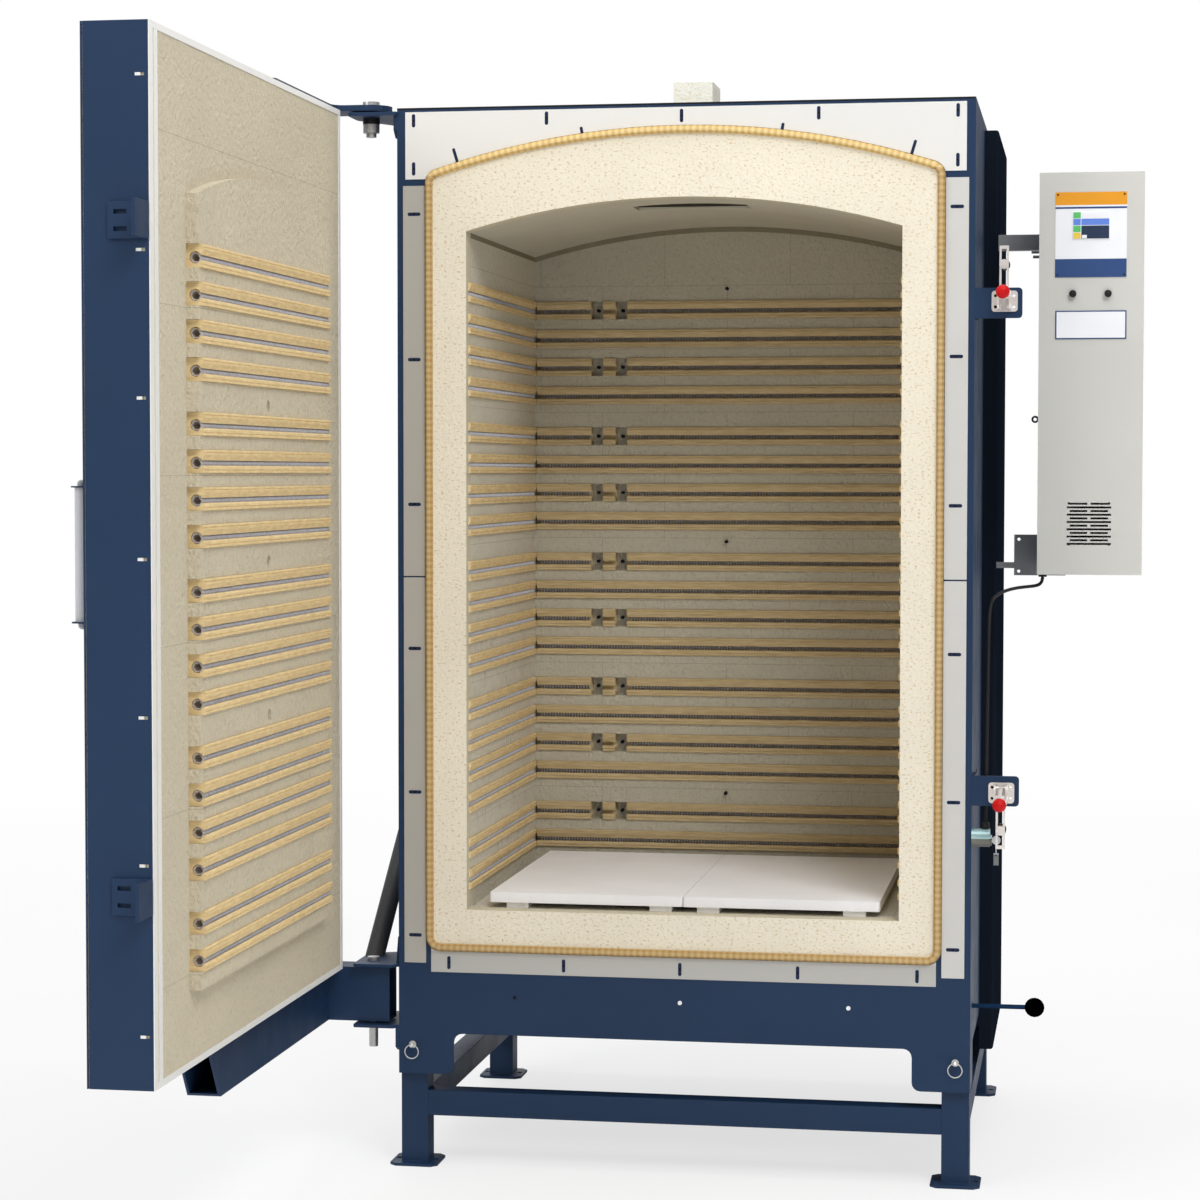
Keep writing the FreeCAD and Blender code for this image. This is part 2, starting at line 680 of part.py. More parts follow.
def case_right_panel():
    panel = prism(side_outline(), "yz", CASE_HALF_WIDTH - CASE_SHEET, CASE_HALF_WIDTH)
    inside = CASE_HALF_WIDTH - 2 * CASE_SHEET
    hole = rod(inside, DAMPER_Y, DAMPER_Z, (1, 0, 0), 3 * CASE_SHEET, DAMPER_ROD_RADIUS + DAMPER_CLEARANCE)
    return panel.cut(hole)


def case_back_panel():
    return prism(apron_outline(), "xz", CASE_DEPTH - CASE_SHEET, CASE_DEPTH)


def case_roof():
    roof = box(-CASE_HALF_WIDTH, CASE_HALF_WIDTH, 0, CASE_DEPTH, CASE_TOP - CASE_SHEET, CASE_TOP)
    return roof.cut(vent_plug_space(CASE_TOP - 2 * CASE_SHEET, CASE_TOP + CASE_SHEET))


def case_front_frame():
    frame = prism(apron_outline(), "xz", 0, FRONT_SHEET, APRON_RADII)
    frame = frame.cut(seal_block(FRAME_SEAM, -1, FRONT_SHEET + 1))
    holes = [
        rod(side * PIN_X, -1, PIN_Z, (0, 1, 0), FRONT_SHEET + 2, PIN_RADIUS + PIN_CLEARANCE)
        for side in (-1, 1)
    ]
    return frame.cut(holes)


def floor_pan():
    inner = CASE_HALF_WIDTH - CASE_SHEET
    low = FLOOR_PAN_TOP - FLOOR_PAN_SHEET
    pan = box(-inner, inner, FRONT_SHEET, CASE_DEPTH - CASE_SHEET, low, FLOOR_PAN_TOP)
    y = DAMPER_Y + FLUE_WIDTH
    return pan.cut(rod(DAMPER_PLATE_X, y, 0, (0, 0, 1), FLOOR_PAN_TOP + 1, AIR_HOLE_RADIUS))


def trim_slots():
    """Where the slots of the white trim lie: centre x, centre z and angle from level."""
    slots = []
    edge_z = TRIM_TOP - TRIM_SLOT_EDGE
    side_x = TRIM_TOP_HALF_WIDTH - TRIM_SLOT_EDGE
    for x in (-1.0, -0.5, 0.0, 0.5, 1.0):
        slots.append((x * side_x, edge_z, 90))
    for side in (-1, 1):
        slots.append((side * side_x, TRIM_TOP_SHOULDER + TRIM_SLOT_EDGE + 3, 90))
        for x, lean in ((363.0, 74), (166.0, 82)):
            drop = SEAL_CROWN - (SEAL_CROWN - SEAL_CORNER_Z) * (x / SEAL_HALF_WIDTH) ** 2
            slots.append((side * x, drop + TRIM_SLOT_EDGE + 2, 90 + side * (90 - lean)))
    bottom_x = TRIM_BOTTOM_HALF_WIDTH - TRIM_SLOT_EDGE - 16
    for x in (-1.0, -0.5, 0.0, 0.5, 1.0):
        slots.append((x * bottom_x, TRIM_BOTTOM + TRIM_SLOT_EDGE + 2, 90))
    span = (TRIM_SIDE_TOP - TRIM_SLOT_EDGE - 32) - (TRIM_SIDE_BOTTOM + TRIM_SLOT_EDGE + 32)
    centre = (TRIM_SIDE_HALF_WIDTH + SEAL_HALF_WIDTH) / 2
    for step in range(6):
        z = TRIM_SIDE_BOTTOM + TRIM_SLOT_EDGE + 32 + span * step / 5
        slots.append((-centre, z, 0))
        slots.append((centre, z, 0))
    return slots


def slot_cutter(x, z, angle, length, width, y0, y1):
    cutter = box(-length / 2, length / 2, y0, y1, -width / 2, width / 2)
    cutter.rotate(V(0, 0, 0), V(0, -1, 0), angle)
    cutter.translate(V(x, 0, z))
    return cutter


def front_trim_panels():
    """Six white sheets round the seal, with slots that let them grow with the heat."""
    low = -TRIM_SHEET
    hole = seal_block(-TRIM_GAP, low - 1, 1)
    top = box(-TRIM_TOP_HALF_WIDTH, TRIM_TOP_HALF_WIDTH, low, 0, TRIM_TOP_SHOULDER, TRIM_TOP)
    bottom = box(-TRIM_BOTTOM_HALF_WIDTH, TRIM_BOTTOM_HALF_WIDTH, low, 0, TRIM_BOTTOM, TRIM_SPLIT)
    panels = [top.cut(hole), bottom.cut(hole)]
    gap = TRIM_SPLIT_GAP / 2
    inner = SEAL_HALF_WIDTH + TRIM_GAP
    for side in (-1, 1):
        near, far = sorted((side * inner, side * TRIM_SIDE_HALF_WIDTH))
        panels.append(box(near, far, low, 0, TRIM_SPLIT + gap, TRIM_SIDE_TOP))
        panels.append(box(near, far, low, 0, TRIM_SIDE_BOTTOM, TRIM_SPLIT - gap))
    cutters = [
        slot_cutter(x, z, angle, TRIM_SLOT_LENGTH, TRIM_SLOT_WIDTH, low - 1, 1)
        for x, z, angle in trim_slots()
    ]
    return [panel.cut(cutters) for panel in panels]


def door_gasket():
    """A rope, flattened where it lies on the case, run round the mouth as one closed sweep."""
    middle = seal_block(SEAL_WIDTH / 2, 0, 1)
    face = min(middle.Faces, key=lambda f: f.CenterOfMass.y)
    path = Part.Wire(Part.__sortEdges__(face.OuterWire.Edges))
    edge = path.OrderedEdges[0]
    start = path.OrderedVertexes[0].Point
    along = edge.tangentAt(edge.getParameterByLength(0))
    across = along.cross(V(0, 1, 0))
    half = SEAL_WIDTH / 2
    section = [(half, 0), (half, 0.55), (0.45 * half, 1), (-0.45 * half, 1), (-half, 0.55), (-half, 0)]
    corners = [start + across * u - V(0, SEAL_PROUD, 0) * v for u, v in section]
    return path.makePipeShell([Part.makePolygon(corners + corners[:1])], True, False)


def opening_block(y0, y1):
    return arched(OPENING_HALF_WIDTH, OPENING_FLOOR, ARCH_SPRING, ARCH_RISE, y0, y1)


def front_brick_ring():
    ring = seal_block(FRAME_SEAM + BRICK_GAP, 0, COLLAR_DEPTH)
    ring = ring.cut(opening_block(-1, COLLAR_DEPTH + 1))
    grooves = []
    for z in ROW_HEIGHTS:
        grooves.append(groove("left", SIDE_ROW_START, COLLAR_DEPTH + 1, z))
        grooves.append(groove("right", SIDE_ROW_START, COLLAR_DEPTH + 1, z))
    return ring.cut(grooves)


BRICK_SIDE = CASE_HALF_WIDTH - CASE_SHEET - BRICK_GAP
BRICK_BACK = CHAMBER_BACK + BACK_WALL


def brick_floor():
    return box(-BRICK_SIDE, BRICK_SIDE, COLLAR_DEPTH, BRICK_BACK, FLOOR_PAN_TOP, OPENING_FLOOR)


def side_wall(wall, near, far):
    block = box(near, far, COLLAR_DEPTH, CHAMBER_BACK, OPENING_FLOOR, ARCH_SPRING)
    grooves = [groove(wall, COLLAR_DEPTH - 1, CHAMBER_BACK + 1, z) for z in ROW_HEIGHTS]
    return block.cut(grooves)


def brick_side_walls():
    return [
        side_wall("left", -BRICK_SIDE, -OPENING_HALF_WIDTH),
        side_wall("right", OPENING_HALF_WIDTH, BRICK_SIDE),
    ]


def brick_wall_back():
    top = CASE_TOP - CASE_SHEET - ROOF_FILL_GAP
    block = box(-BRICK_SIDE, BRICK_SIDE, CHAMBER_BACK, BRICK_BACK, OPENING_FLOOR, top)
    tools = [groove("back", -OPENING_HALF_WIDTH, OPENING_HALF_WIDTH, z) for z in ROW_HEIGHTS]
    pins = [(x, z, TERMINAL_PIN_RADIUS) for z in SPLIT_ROWS for x in PIN_PLACES]
    probes = [(0, z, THERMOCOUPLE_RADIUS) for z in THERMOCOUPLES]
    for x, z, radius in pins + probes:
        tools.append(bar(x, CHAMBER_BACK - 1, z, (0, 1, 0), BACK_WALL + 2, radius + BRICK_GAP, 6))
    return block.cut(tools)


PIN_PLACES = [(POCKET_A[0] + POCKET_A[1]) / 2, (POCKET_B[0] + POCKET_B[1]) / 2]
THERMOCOUPLES = [z + THERMOCOUPLE_RAISE for z in ROW_HEIGHTS[:: 2 * ROWS_PER_GROUP]]


def vent_plug_space(z0, z1):
    gap = VENT_PLUG_CLEARANCE
    return box(
        VENT_PLUG_LEFT - gap, VENT_PLUG_RIGHT + gap,
        VENT_PLUG_FRONT - gap, VENT_PLUG_FRONT + VENT_PLUG_DEPTH + gap, z0, z1,
    )


def brick_roof_arch():
    """The vault: flat above, arched below, with the flue that the exhaust plug closes."""
    top = CASE_TOP - CASE_SHEET - ROOF_FILL_GAP
    block = box(-BRICK_SIDE, BRICK_SIDE, COLLAR_DEPTH, CHAMBER_BACK, ARCH_SPRING, top)
    crown = ARCH_SPRING + ARCH_RISE
    left = -FLUE_HALF_LENGTH - FLUE_SHIFT
    right = FLUE_HALF_LENGTH - FLUE_SHIFT
    flue_back = FLUE_FRONT + FLUE_WIDTH
    flue = box(left, right, FLUE_FRONT, flue_back, crown - ARCH_RISE, crown + FLUE_DEPTH)
    margin = VENT_NECK_MARGIN
    neck = box(VENT_PLUG_LEFT + margin, VENT_PLUG_RIGHT - margin, VENT_PLUG_FRONT + margin,
               flue_back, crown, VENT_PLUG_SEAT + 1)
    seat = vent_plug_space(VENT_PLUG_SEAT, top + 1)
    return block.cut([opening_block(0, CHAMBER_BACK + 1), flue, neck, seat])


def vent_plug():
    back = VENT_PLUG_FRONT + VENT_PLUG_DEPTH
    plug = box(VENT_PLUG_LEFT, VENT_PLUG_RIGHT, VENT_PLUG_FRONT, back, VENT_PLUG_SEAT, VENT_PLUG_TOP)
    return plug.makeChamfer(1.5, [e for e in plug.Edges if e.BoundBox.ZMin > VENT_PLUG_TOP - 1])


def element_holders():
    solids = []
    for z in ROW_HEIGHTS:
        solids.append(channel("left", SIDE_ROW_START, SIDE_ROW_END, z))
        solids.append(channel("right", SIDE_ROW_START, SIDE_ROW_END, z))
        if z in SPLIT_ROWS:
            solids.append(channel("back", -BACK_ROW_HALF, POCKET_A[0], z))
            solids.append(channel("back", BRIDGE[0], BRIDGE[1], z))
            solids.append(channel("back", POCKET_B[1], BACK_ROW_HALF, z))
        else:
            solids.append(channel("back", -BACK_ROW_HALF, BACK_ROW_HALF, z))
    return solids


def heating_elements():
    solids = []
    inset = ELEMENT_INSET
    for z in ROW_HEIGHTS:
        solids.append(element("left", SIDE_ROW_START + inset, SIDE_ROW_END - inset, z))
        solids.append(element("right", SIDE_ROW_START + inset, SIDE_ROW_END - inset, z))
        if z in SPLIT_ROWS:
            solids.append(element("back", -BACK_ROW_HALF + inset, POCKET_A[0] - inset, z))
            solids.append(element("back", POCKET_B[1] + inset, BACK_ROW_HALF - inset, z))
        else:
            solids.append(element("back", -BACK_ROW_HALF + inset, BACK_ROW_HALF - inset, z))
    return solids


def terminal_pins():
    start = CHAMBER_BACK + HOLDER_BORE_DEPTH
    end = BRICK_BACK + TERMINAL_PIN_BACK
    return [
        bar(x, start, z, (0, 1, 0), end - start, TERMINAL_PIN_RADIUS, 6)
        for z in SPLIT_ROWS for x in PIN_PLACES
    ]


def thermocouples():
    start = CHAMBER_BACK - THERMOCOUPLE_TIP
    end = BRICK_BACK + TERMINAL_PIN_BACK
    return [bar(0, start, z, (0, 1, 0), end - start, THERMOCOUPLE_RADIUS, 6) for z in THERMOCOUPLES]


def shelf(side):
    near, far = sorted((side * SHELF_SPLIT / 2, side * SHELF_HALF_WIDTH))
    board = box(near, far, SHELF_FRONT, SHELF_BACK, SHELF_TOP - SHELF_THICKNESS, SHELF_TOP)
    return board.makeFillet(3.0, [e for e in board.Edges if abs(e.tangentAt(e.FirstParameter).z) > 0.999])


def shelf_posts():
    top = SHELF_TOP - SHELF_THICKNESS
    half = POST_SIZE / 2
    return [
        box(x - half, x + half, y, y + POST_SIZE, OPENING_FLOOR, top)
        for x in POST_CENTRES_X for y in (POST_FRONT, POST_BACK)
    ]


LEG_X = CASE_HALF_WIDTH - CASE_SHEET - LEG_TUBE / 2
PIN_X = LEG_X
LEG_Y = (LEG_INSET_Y + LEG_TUBE / 2, CASE_DEPTH - LEG_INSET_Y - LEG_TUBE / 2)


def tube_square(x0, x1, y0, y1, z0, z1, wall, axis):
    """A square tube: the wall leaves both ends open along its axis."""
    outer = box(x0, x1, y0, y1, z0, z1)
    walls = {"x": (0, wall, wall), "y": (wall, 0, wall), "z": (wall, wall, 0)}[axis]
    bore = box(x0 + walls[0], x1 - walls[0], y0 + walls[1], y1 - walls[1], z0 + walls[2], z1 - walls[2])
    return outer.cut(bore)


def stand_leg(x, y):
    half = LEG_TUBE / 2
    reach = FOOT_SIZE / 2
    clip = reach - FOOT_CORNER
    foot = prism(
        [(x - reach, y - clip), (x - clip, y - reach), (x + clip, y - reach), (x + reach, y - clip),
         (x + reach, y + clip), (x + clip, y + reach), (x - clip, y + reach), (x - reach, y + clip)],
        "xy", 0, FOOT_THICKNESS,
    )
    for side in (-1, 1):
        hole_x = x + side * FOOT_HOLE_OFFSET
        foot = foot.cut(rod(hole_x, y, -1, (0, 0, 1), FOOT_THICKNESS + 2, FOOT_HOLE_RADIUS))
    top = FLOOR_PAN_TOP - FLOOR_PAN_SHEET
    post = tube_square(x - half, x + half, y - half, y + half, FOOT_THICKNESS, top, LEG_WALL, "z")
    if y < CASE_DEPTH / 2:
        post = post.cut(rod(x, y - half - 1, PIN_Z, (0, 1, 0), LEG_WALL + 2, PIN_RADIUS + PIN_CLEARANCE))
    return foot.fuse(post).removeSplitter()


def stand_legs():
    return [stand_leg(side * LEG_X, y) for side in (-1, 1) for y in LEG_Y]


def stand_rails():
    half = LEG_TUBE / 2
    bottom = RAIL_TOP - RAIL_HEIGHT
    front = tube_square(-LEG_X + half, LEG_X - half, LEG_INSET_Y, LEG_INSET_Y + RAIL_WIDTH,
                        bottom, RAIL_TOP, RAIL_WALL, "x")
    rails = [front]
    for side in (-1, 1):
        x = side * LEG_X
        rails.append(tube_square(x - RAIL_WIDTH / 2, x + RAIL_WIDTH / 2, LEG_Y[0] + half, LEG_Y[1] - half,
                                 bottom, RAIL_TOP, RAIL_WALL, "y"))
    return rails


def retaining_pin(side):
    """A quick-release pin through the case tab and the leg, with an eye for its ring."""
    x = side * PIN_X
    neck = -PIN_NECK
    shank = rod(x, neck, PIN_Z, (0, 1, 0), PIN_LENGTH - neck, PIN_RADIUS)
    collar = bar(x, -TRIM_SHEET - 0.8, PIN_Z, (0, 1, 0), TRIM_SHEET + 0.5, PIN_RADIUS + 2, SMALL_SIDES)
    eye_y = neck - PIN_HEAD_RADIUS + 1
    head = ball(V(x, eye_y, PIN_Z), PIN_HEAD_RADIUS)
    eye = bar(x - PIN_HEAD_RADIUS - 1, eye_y, PIN_Z, (1, 0, 0), 2 * PIN_HEAD_RADIUS + 2, PIN_EYE, 8)
    return shank.fuse([collar, head]).cut(eye).removeSplitter()


def pull_ring(side):
    eye_y = -PIN_NECK - PIN_HEAD_RADIUS + 1
    return wire_ring(V(side * PIN_X, eye_y, PIN_Z - RING_RADIUS + 0.4), (0, 1, 0), RING_RADIUS, RING_WIRE)


def side_cover():
    """The wiring cover: a shallow pan, open towards the case."""
    back = CASE_DEPTH - CASE_SHEET
    right = CASE_HALF_WIDTH + SIDE_COVER_DEPTH
    skin = COVER_SHEET
    pan = box(CASE_HALF_WIDTH, right, SIDE_COVER_FRONT, back, SIDE_COVER_BOTTOM, SIDE_COVER_TOP)
    upright = [e for e in pan.Edges if e.BoundBox.XMin > right - 0.01]
    pan = pan.makeFillet(COVER_EDGE, upright)
    hollow = box(CASE_HALF_WIDTH - 1, right - skin, SIDE_COVER_FRONT + skin, back - skin,
                 SIDE_COVER_BOTTOM + skin, SIDE_COVER_TOP - skin)
    upright = [e for e in hollow.Edges if e.BoundBox.XMin > right - skin - 0.01]
    hollow = hollow.makeFillet(COVER_EDGE - skin, upright)
    return pan.cut(hollow)


def rear_cover():
    """The back cover of the terminals, with two columns of vent slots."""
    side = REAR_COVER_HALF_WIDTH
    back = CASE_DEPTH + REAR_COVER_DEPTH
    skin = COVER_SHEET
    pan = box(-side, side, CASE_DEPTH, back, REAR_COVER_BOTTOM, REAR_COVER_TOP)
    pan = pan.cut(box(-side + skin, side - skin, CASE_DEPTH - 1, back - skin,
                      REAR_COVER_BOTTOM + skin, REAR_COVER_TOP - skin))
    slots = []
    height = LOUVRE_PITCH * LOUVRE_COUNT
    for base in (REAR_COVER_BOTTOM + LOUVRE_MARGIN, REAR_COVER_TOP - LOUVRE_MARGIN - height):
        for n in range(LOUVRE_COUNT):
            z = base + n * LOUVRE_PITCH
            for x in (-side / 2, side / 2):
                slots.append(box(x - LOUVRE_LENGTH / 2, x + LOUVRE_LENGTH / 2, back - 2 * skin, back + 1,
                                 z, z + LOUVRE_HEIGHT))
    return pan.cut(slots)


def opened(solid):
    """A door piece drawn shut is swung open about the hinge."""
    solid.rotate(V(HINGE_X, HINGE_Y, 0), V(0, 0, 1), -90)
    return solid


def hinge_bore(radius, low, high):
    return rod(HINGE_X, HINGE_Y, low, (0, 0, 1), high - low, radius)


def ring(radius, bore, low, high):
    """A collar or washer on the hinge line, in flat facets; its bore just clears the pin."""
    outer = bar(HINGE_X, HINGE_Y, low, (0, 0, 1), high - low, radius, COLLAR_SIDES)
    apothem = bore / math.cos(math.pi / COLLAR_SIDES)
    return outer.cut(bar(HINGE_X, HINGE_Y, low - 1, (0, 0, 1), high - low + 2, apothem, COLLAR_SIDES))


CASE_LEFT = -CASE_HALF_WIDTH
FLANGE_LEFT = CASE_LEFT - HINGE_PLATE
UPPER_PLATE_LOW = DOOR_BOTTOM + 3.0
UPPER_PLATE_HIGH = UPPER_PLATE_LOW + BOTTOM_PLATE
ARM_BOTTOM = DOOR_BOTTOM - ARM_HEIGHT
LOWER_PLATE_HIGH = ARM_BOTTOM - 3.0
LOWER_PLATE_LOW = LOWER_PLATE_HIGH - BOTTOM_PLATE


def hinge_brackets():
    top_low = TOP_BRACKET_TOP - HINGE_PLATE
    plate = prism(
        [(CASE_LEFT, TOP_BRACKET_FRONT), (HINGE_LEFT, TOP_BRACKET_FRONT),
         (HINGE_LEFT, TOP_BRACKET_SIDE + TOP_BRACKET_FRONT),
         (FLANGE_LEFT, TOP_BRACKET_BACK), (CASE_LEFT, TOP_BRACKET_BACK)],
        "xy", top_low, TOP_BRACKET_TOP, [0, 8, 12, 0, 0],
    )
    drop = top_low - TOP_BRACKET_DROP
    flange = prism(
        [(0, top_low + 1), (0, drop + 12), (14, drop), (TOP_BRACKET_BACK - 40, drop),
         (TOP_BRACKET_BACK, top_low + 1)],
        "yz", FLANGE_LEFT, CASE_LEFT,
    )
    top = plate.fuse(flange).cut(hinge_bore(TOP_PIN_RADIUS, top_low - 1, TOP_BRACKET_TOP + 1))
    top = top.removeSplitter()
    left = HINGE_LEFT + 5
    back = BOTTOM_FLANGE_BACK
    table = [(FLANGE_LEFT - 2, HINGE_FRONT), (left, HINGE_FRONT), (left, BOTTOM_PLATE_BACK),
             (FLANGE_LEFT, back), (CASE_LEFT, back), (CASE_LEFT, 4)]
    radii = [0, 4, 10, 0, 0, 0]
    high = UPPER_PLATE_HIGH + BOTTOM_FLANGE_RISE - BOTTOM_PLATE
    rise = prism([(4, UPPER_PLATE_LOW), (20, high), (back, high), (back, UPPER_PLATE_LOW)],
                 "yz", FLANGE_LEFT, CASE_LEFT)
    low = LOWER_PLATE_HIGH - BOTTOM_FLANGE_DROP
    fall = prism([(0, LOWER_PLATE_HIGH), (0, low + 8), (16, low), (back, low), (back, LOWER_PLATE_HIGH)],
                 "yz", FLANGE_LEFT, CASE_LEFT)
    upper = prism(table, "xy", UPPER_PLATE_LOW, UPPER_PLATE_HIGH, radii).fuse(rise)
    lower = prism(table, "xy", LOWER_PLATE_LOW, LOWER_PLATE_HIGH, radii).fuse(fall)
    bore = hinge_bore(BOTTOM_PIN_RADIUS, LOWER_PLATE_LOW - 1, UPPER_PLATE_HIGH + 1)
    return [top, upper.cut(bore).removeSplitter(), lower.cut(bore).removeSplitter()]


def hinge_pins():
    """Both pins with their heads, the washers between the plates and the collar under the top one."""
    top_low = TOP_BRACKET_TOP - HINGE_PLATE
    plate_top = DOOR_TOP + DOOR_PLATE_THICKNESS
    place = (HINGE_X, HINGE_Y)
    top = hinge_bore(TOP_PIN_RADIUS, TOP_PIN_END, plate_top + 1).fuse(
        bar(*place, plate_top + 0.3, (0, 0, 1), 7.7, TOP_COLLAR_RADIUS, COLLAR_SIDES))
    bottom = hinge_bore(BOTTOM_PIN_RADIUS, BOTTOM_PIN_END, UPPER_PLATE_HIGH + 1).fuse(
        bar(*place, UPPER_PLATE_HIGH, (0, 0, 1), BOTTOM_HEAD, BOTTOM_HEAD_RADIUS, COLLAR_SIDES))
    rings = [
        ring(TOP_COLLAR_RADIUS, TOP_PIN_RADIUS, TOP_BRACKET_TOP, DOOR_TOP),
        ring(TOP_COLLAR_RADIUS, TOP_PIN_RADIUS, TOP_COLLAR_SPLIT, top_low),
        ring(TOP_COLLAR_RADIUS - 0.5, TOP_PIN_RADIUS, TOP_COLLAR_END, TOP_COLLAR_SPLIT),
        ring(WASHER_RADIUS, BOTTOM_PIN_RADIUS, DOOR_BOTTOM, UPPER_PLATE_LOW),
        ring(WASHER_RADIUS, BOTTOM_PIN_RADIUS, LOWER_PLATE_HIGH, ARM_BOTTOM),
    ]
    return [top.removeSplitter(), bottom.removeSplitter()] + rings


def hinge_strut():
    """A closed tube that braces the lower hinge back to the side of the case."""
    foot = V(HINGE_X - STRUT_SHIFT, STRUT_FOOT_Y, UPPER_PLATE_HIGH)
    slope = V(0, STRUT_RUN, STRUT_RISE)
    length = slope.Length
    slope.normalize()
    spare = 3 * STRUT_RADIUS
    tube = Part.makeCylinder(STRUT_RADIUS, length + 2 * spare, foot - slope * spare, slope)
    end_y = STRUT_FOOT_Y + STRUT_RUN
    keep = box(foot.x - spare, foot.x + spare, STRUT_FOOT_Y - spare, end_y,
               UPPER_PLATE_HIGH, UPPER_PLATE_HIGH + 2 * STRUT_RISE)
    tube = tube.common(keep)
    low = UPPER_PLATE_HIGH + STRUT_RISE - STRUT_PLATE_HALF
    high = low + 2 * STRUT_PLATE_HALF
    plate = box(foot.x - STRUT_RADIUS - 2, CASE_LEFT, end_y, end_y + HINGE_PLATE, low, high)
    flange = box(FLANGE_LEFT, CASE_LEFT, end_y + HINGE_PLATE, end_y + STRUT_FLANGE_DEPTH, low, high)
    return [tube, plate, flange]


def door_shell():
    """The steel door: a band round the bricks and a skin on the outside."""
    gap = DOOR_LIP
    skin = box(DOOR_SKIN_X, DOOR_SKIN_X + DOOR_SHEET, DOOR_FREE_Y, DOOR_HINGE_Y, DOOR_BOTTOM, DOOR_TOP)
    band_back = DOOR_SKIN_X + DOOR_SHEET + gap
    band = box(band_back, DOOR_FACE_X, DOOR_FREE_Y, DOOR_HINGE_Y, DOOR_BOTTOM, DOOR_TOP)
    sheet = DOOR_SHEET
    band = band.cut(box(band_back - 1, DOOR_FACE_X + 1, DOOR_FREE_Y + sheet, DOOR_HINGE_Y - sheet,
                        DOOR_BOTTOM + sheet, DOOR_TOP - sheet))
    half = FLANGE_SLOT_LENGTH / 2
    slots = [
        box(FLANGE_SLOT_X - half, FLANGE_SLOT_X + half, DOOR_FREE_Y - 1, DOOR_FREE_Y + sheet + 0.5,
            z - FLANGE_SLOT_WIDTH / 2, z + FLANGE_SLOT_WIDTH / 2)
        for z in FLANGE_SLOT_Z
    ]
    wide = PEEP_RADIUS + 2 * PEEP_TAPER
    holes = [bar(DOOR_SKIN_X - 1, PEEP_Y, z, (1, 0, 0), DOOR_SHEET + 2, wide, SMALL_SIDES) for z in PEEP_Z]
    return [band.cut(slots), skin.cut(holes)]


def door_trim():
    """White strips round the brick face; the strip on the free side is double."""
    low = DOOR_FACE_X
    high = DOOR_FACE_X + DOOR_TRIM_SHEET
    y0 = DOOR_FREE_Y
    y1 = DOOR_HINGE_Y
    z0 = DOOR_BOTTOM
    z1 = DOOR_TOP
    ends = DOOR_TRIM_ENDS
    outer = y0 + DOOR_TRIM_OUTER_STRIP
    inner = outer + DOOR_TRIM_LINE
    strips = [
        box(low, high, y0, outer, z0, z1),
        box(low, high, inner, y0 + DOOR_TRIM_FREE, z0 + ends, z1 - ends),
        box(low, high, outer, y1 - DOOR_TRIM_HINGE, z0, z0 + ends),
        box(low, high, outer, y1 - DOOR_TRIM_HINGE, z1 - ends, z1),
        box(low, high, y1 - DOOR_TRIM_HINGE, y1, z0, z1),
    ]
    return strips


def peep_bore(gap, start, end):
    """The tapered sight hole, narrowest at the chamber."""
    span = DOOR_FACE_X + PLUG_RAISE - DOOR_SKIN_X
    slope = PEEP_TAPER / span
    far = DOOR_SKIN_X + start
    near = DOOR_SKIN_X + end
    r0 = PEEP_RADIUS + slope * (span - start) + gap
    r1 = PEEP_RADIUS + slope * (span - end) + gap
    across = (1, 0, 0)
    sights = []
    for z in PEEP_Z:
        outer = polygon(V(far, PEEP_Y, z), across, r0, SMALL_SIDES)
        inner = polygon(V(near, PEEP_Y, z), across, r1, SMALL_SIDES)
        sights.append(flat_sided([outer, inner], False))
    return sights


def door_bricks():
    """The lining: a slab in the shell and a raised, arched plug that fills the mouth of the chamber."""
    sheet = DOOR_SHEET
    slab = box(DOOR_SKIN_X + sheet, DOOR_FACE_X, DOOR_FREE_Y + sheet, DOOR_HINGE_Y - sheet,
               DOOR_BOTTOM + sheet, DOOR_TOP - sheet)
    face = DOOR_FACE_X - HINGE_X + HINGE_Y
    low = OPENING_FLOOR + PLUG_BASE_GAP
    spring = ARCH_SPRING - PLUG_SPRING_DROP
    plug = opened(arched(PLUG_HALF, low, spring, PLUG_RISE, face, face + PLUG_RAISE))
    grooves = [groove("door", PLUG_FREE_Y - 1, DOOR_ROW_END + 1, z) for z in ROW_HEIGHTS]
    thick = DOOR_FACE_X + PLUG_RAISE - DOOR_SKIN_X
    sights = peep_bore(0, 0, thick + 1)
    shallow = [groove("door", PLUG_FREE_Y, DOOR_ROW_END + 1, z) for z in ROW_HEIGHTS]
    return [slab.cut(shallow + sights), plug.cut(grooves + sights)]


def door_element_holders():
    return [channel("door", PLUG_FREE_Y + 0.5, DOOR_ROW_END, z) for z in ROW_HEIGHTS]


def door_heating_elements():
    return [element("door", PLUG_FREE_Y + 0.5, DOOR_ROW_END - ELEMENT_INSET, z) for z in ROW_HEIGHTS]


def peephole_plug(number):
    """A tapered ceramic stopper with a round head outside the door."""
    inner = DOOR_FACE_X + PLUG_RAISE - DOOR_SKIN_X - PEEP_RECESS
    body = peep_bore(-PEEP_CLEARANCE, 0, inner)[number]
    z = PEEP_Z[number]
    head = bar(DOOR_SKIN_X - PEEP_HEAD, PEEP_Y, z, (1, 0, 0), PEEP_HEAD, PEEP_HEAD_RADIUS, COLLAR_SIDES)
    return body.fuse(head).removeSplitter()


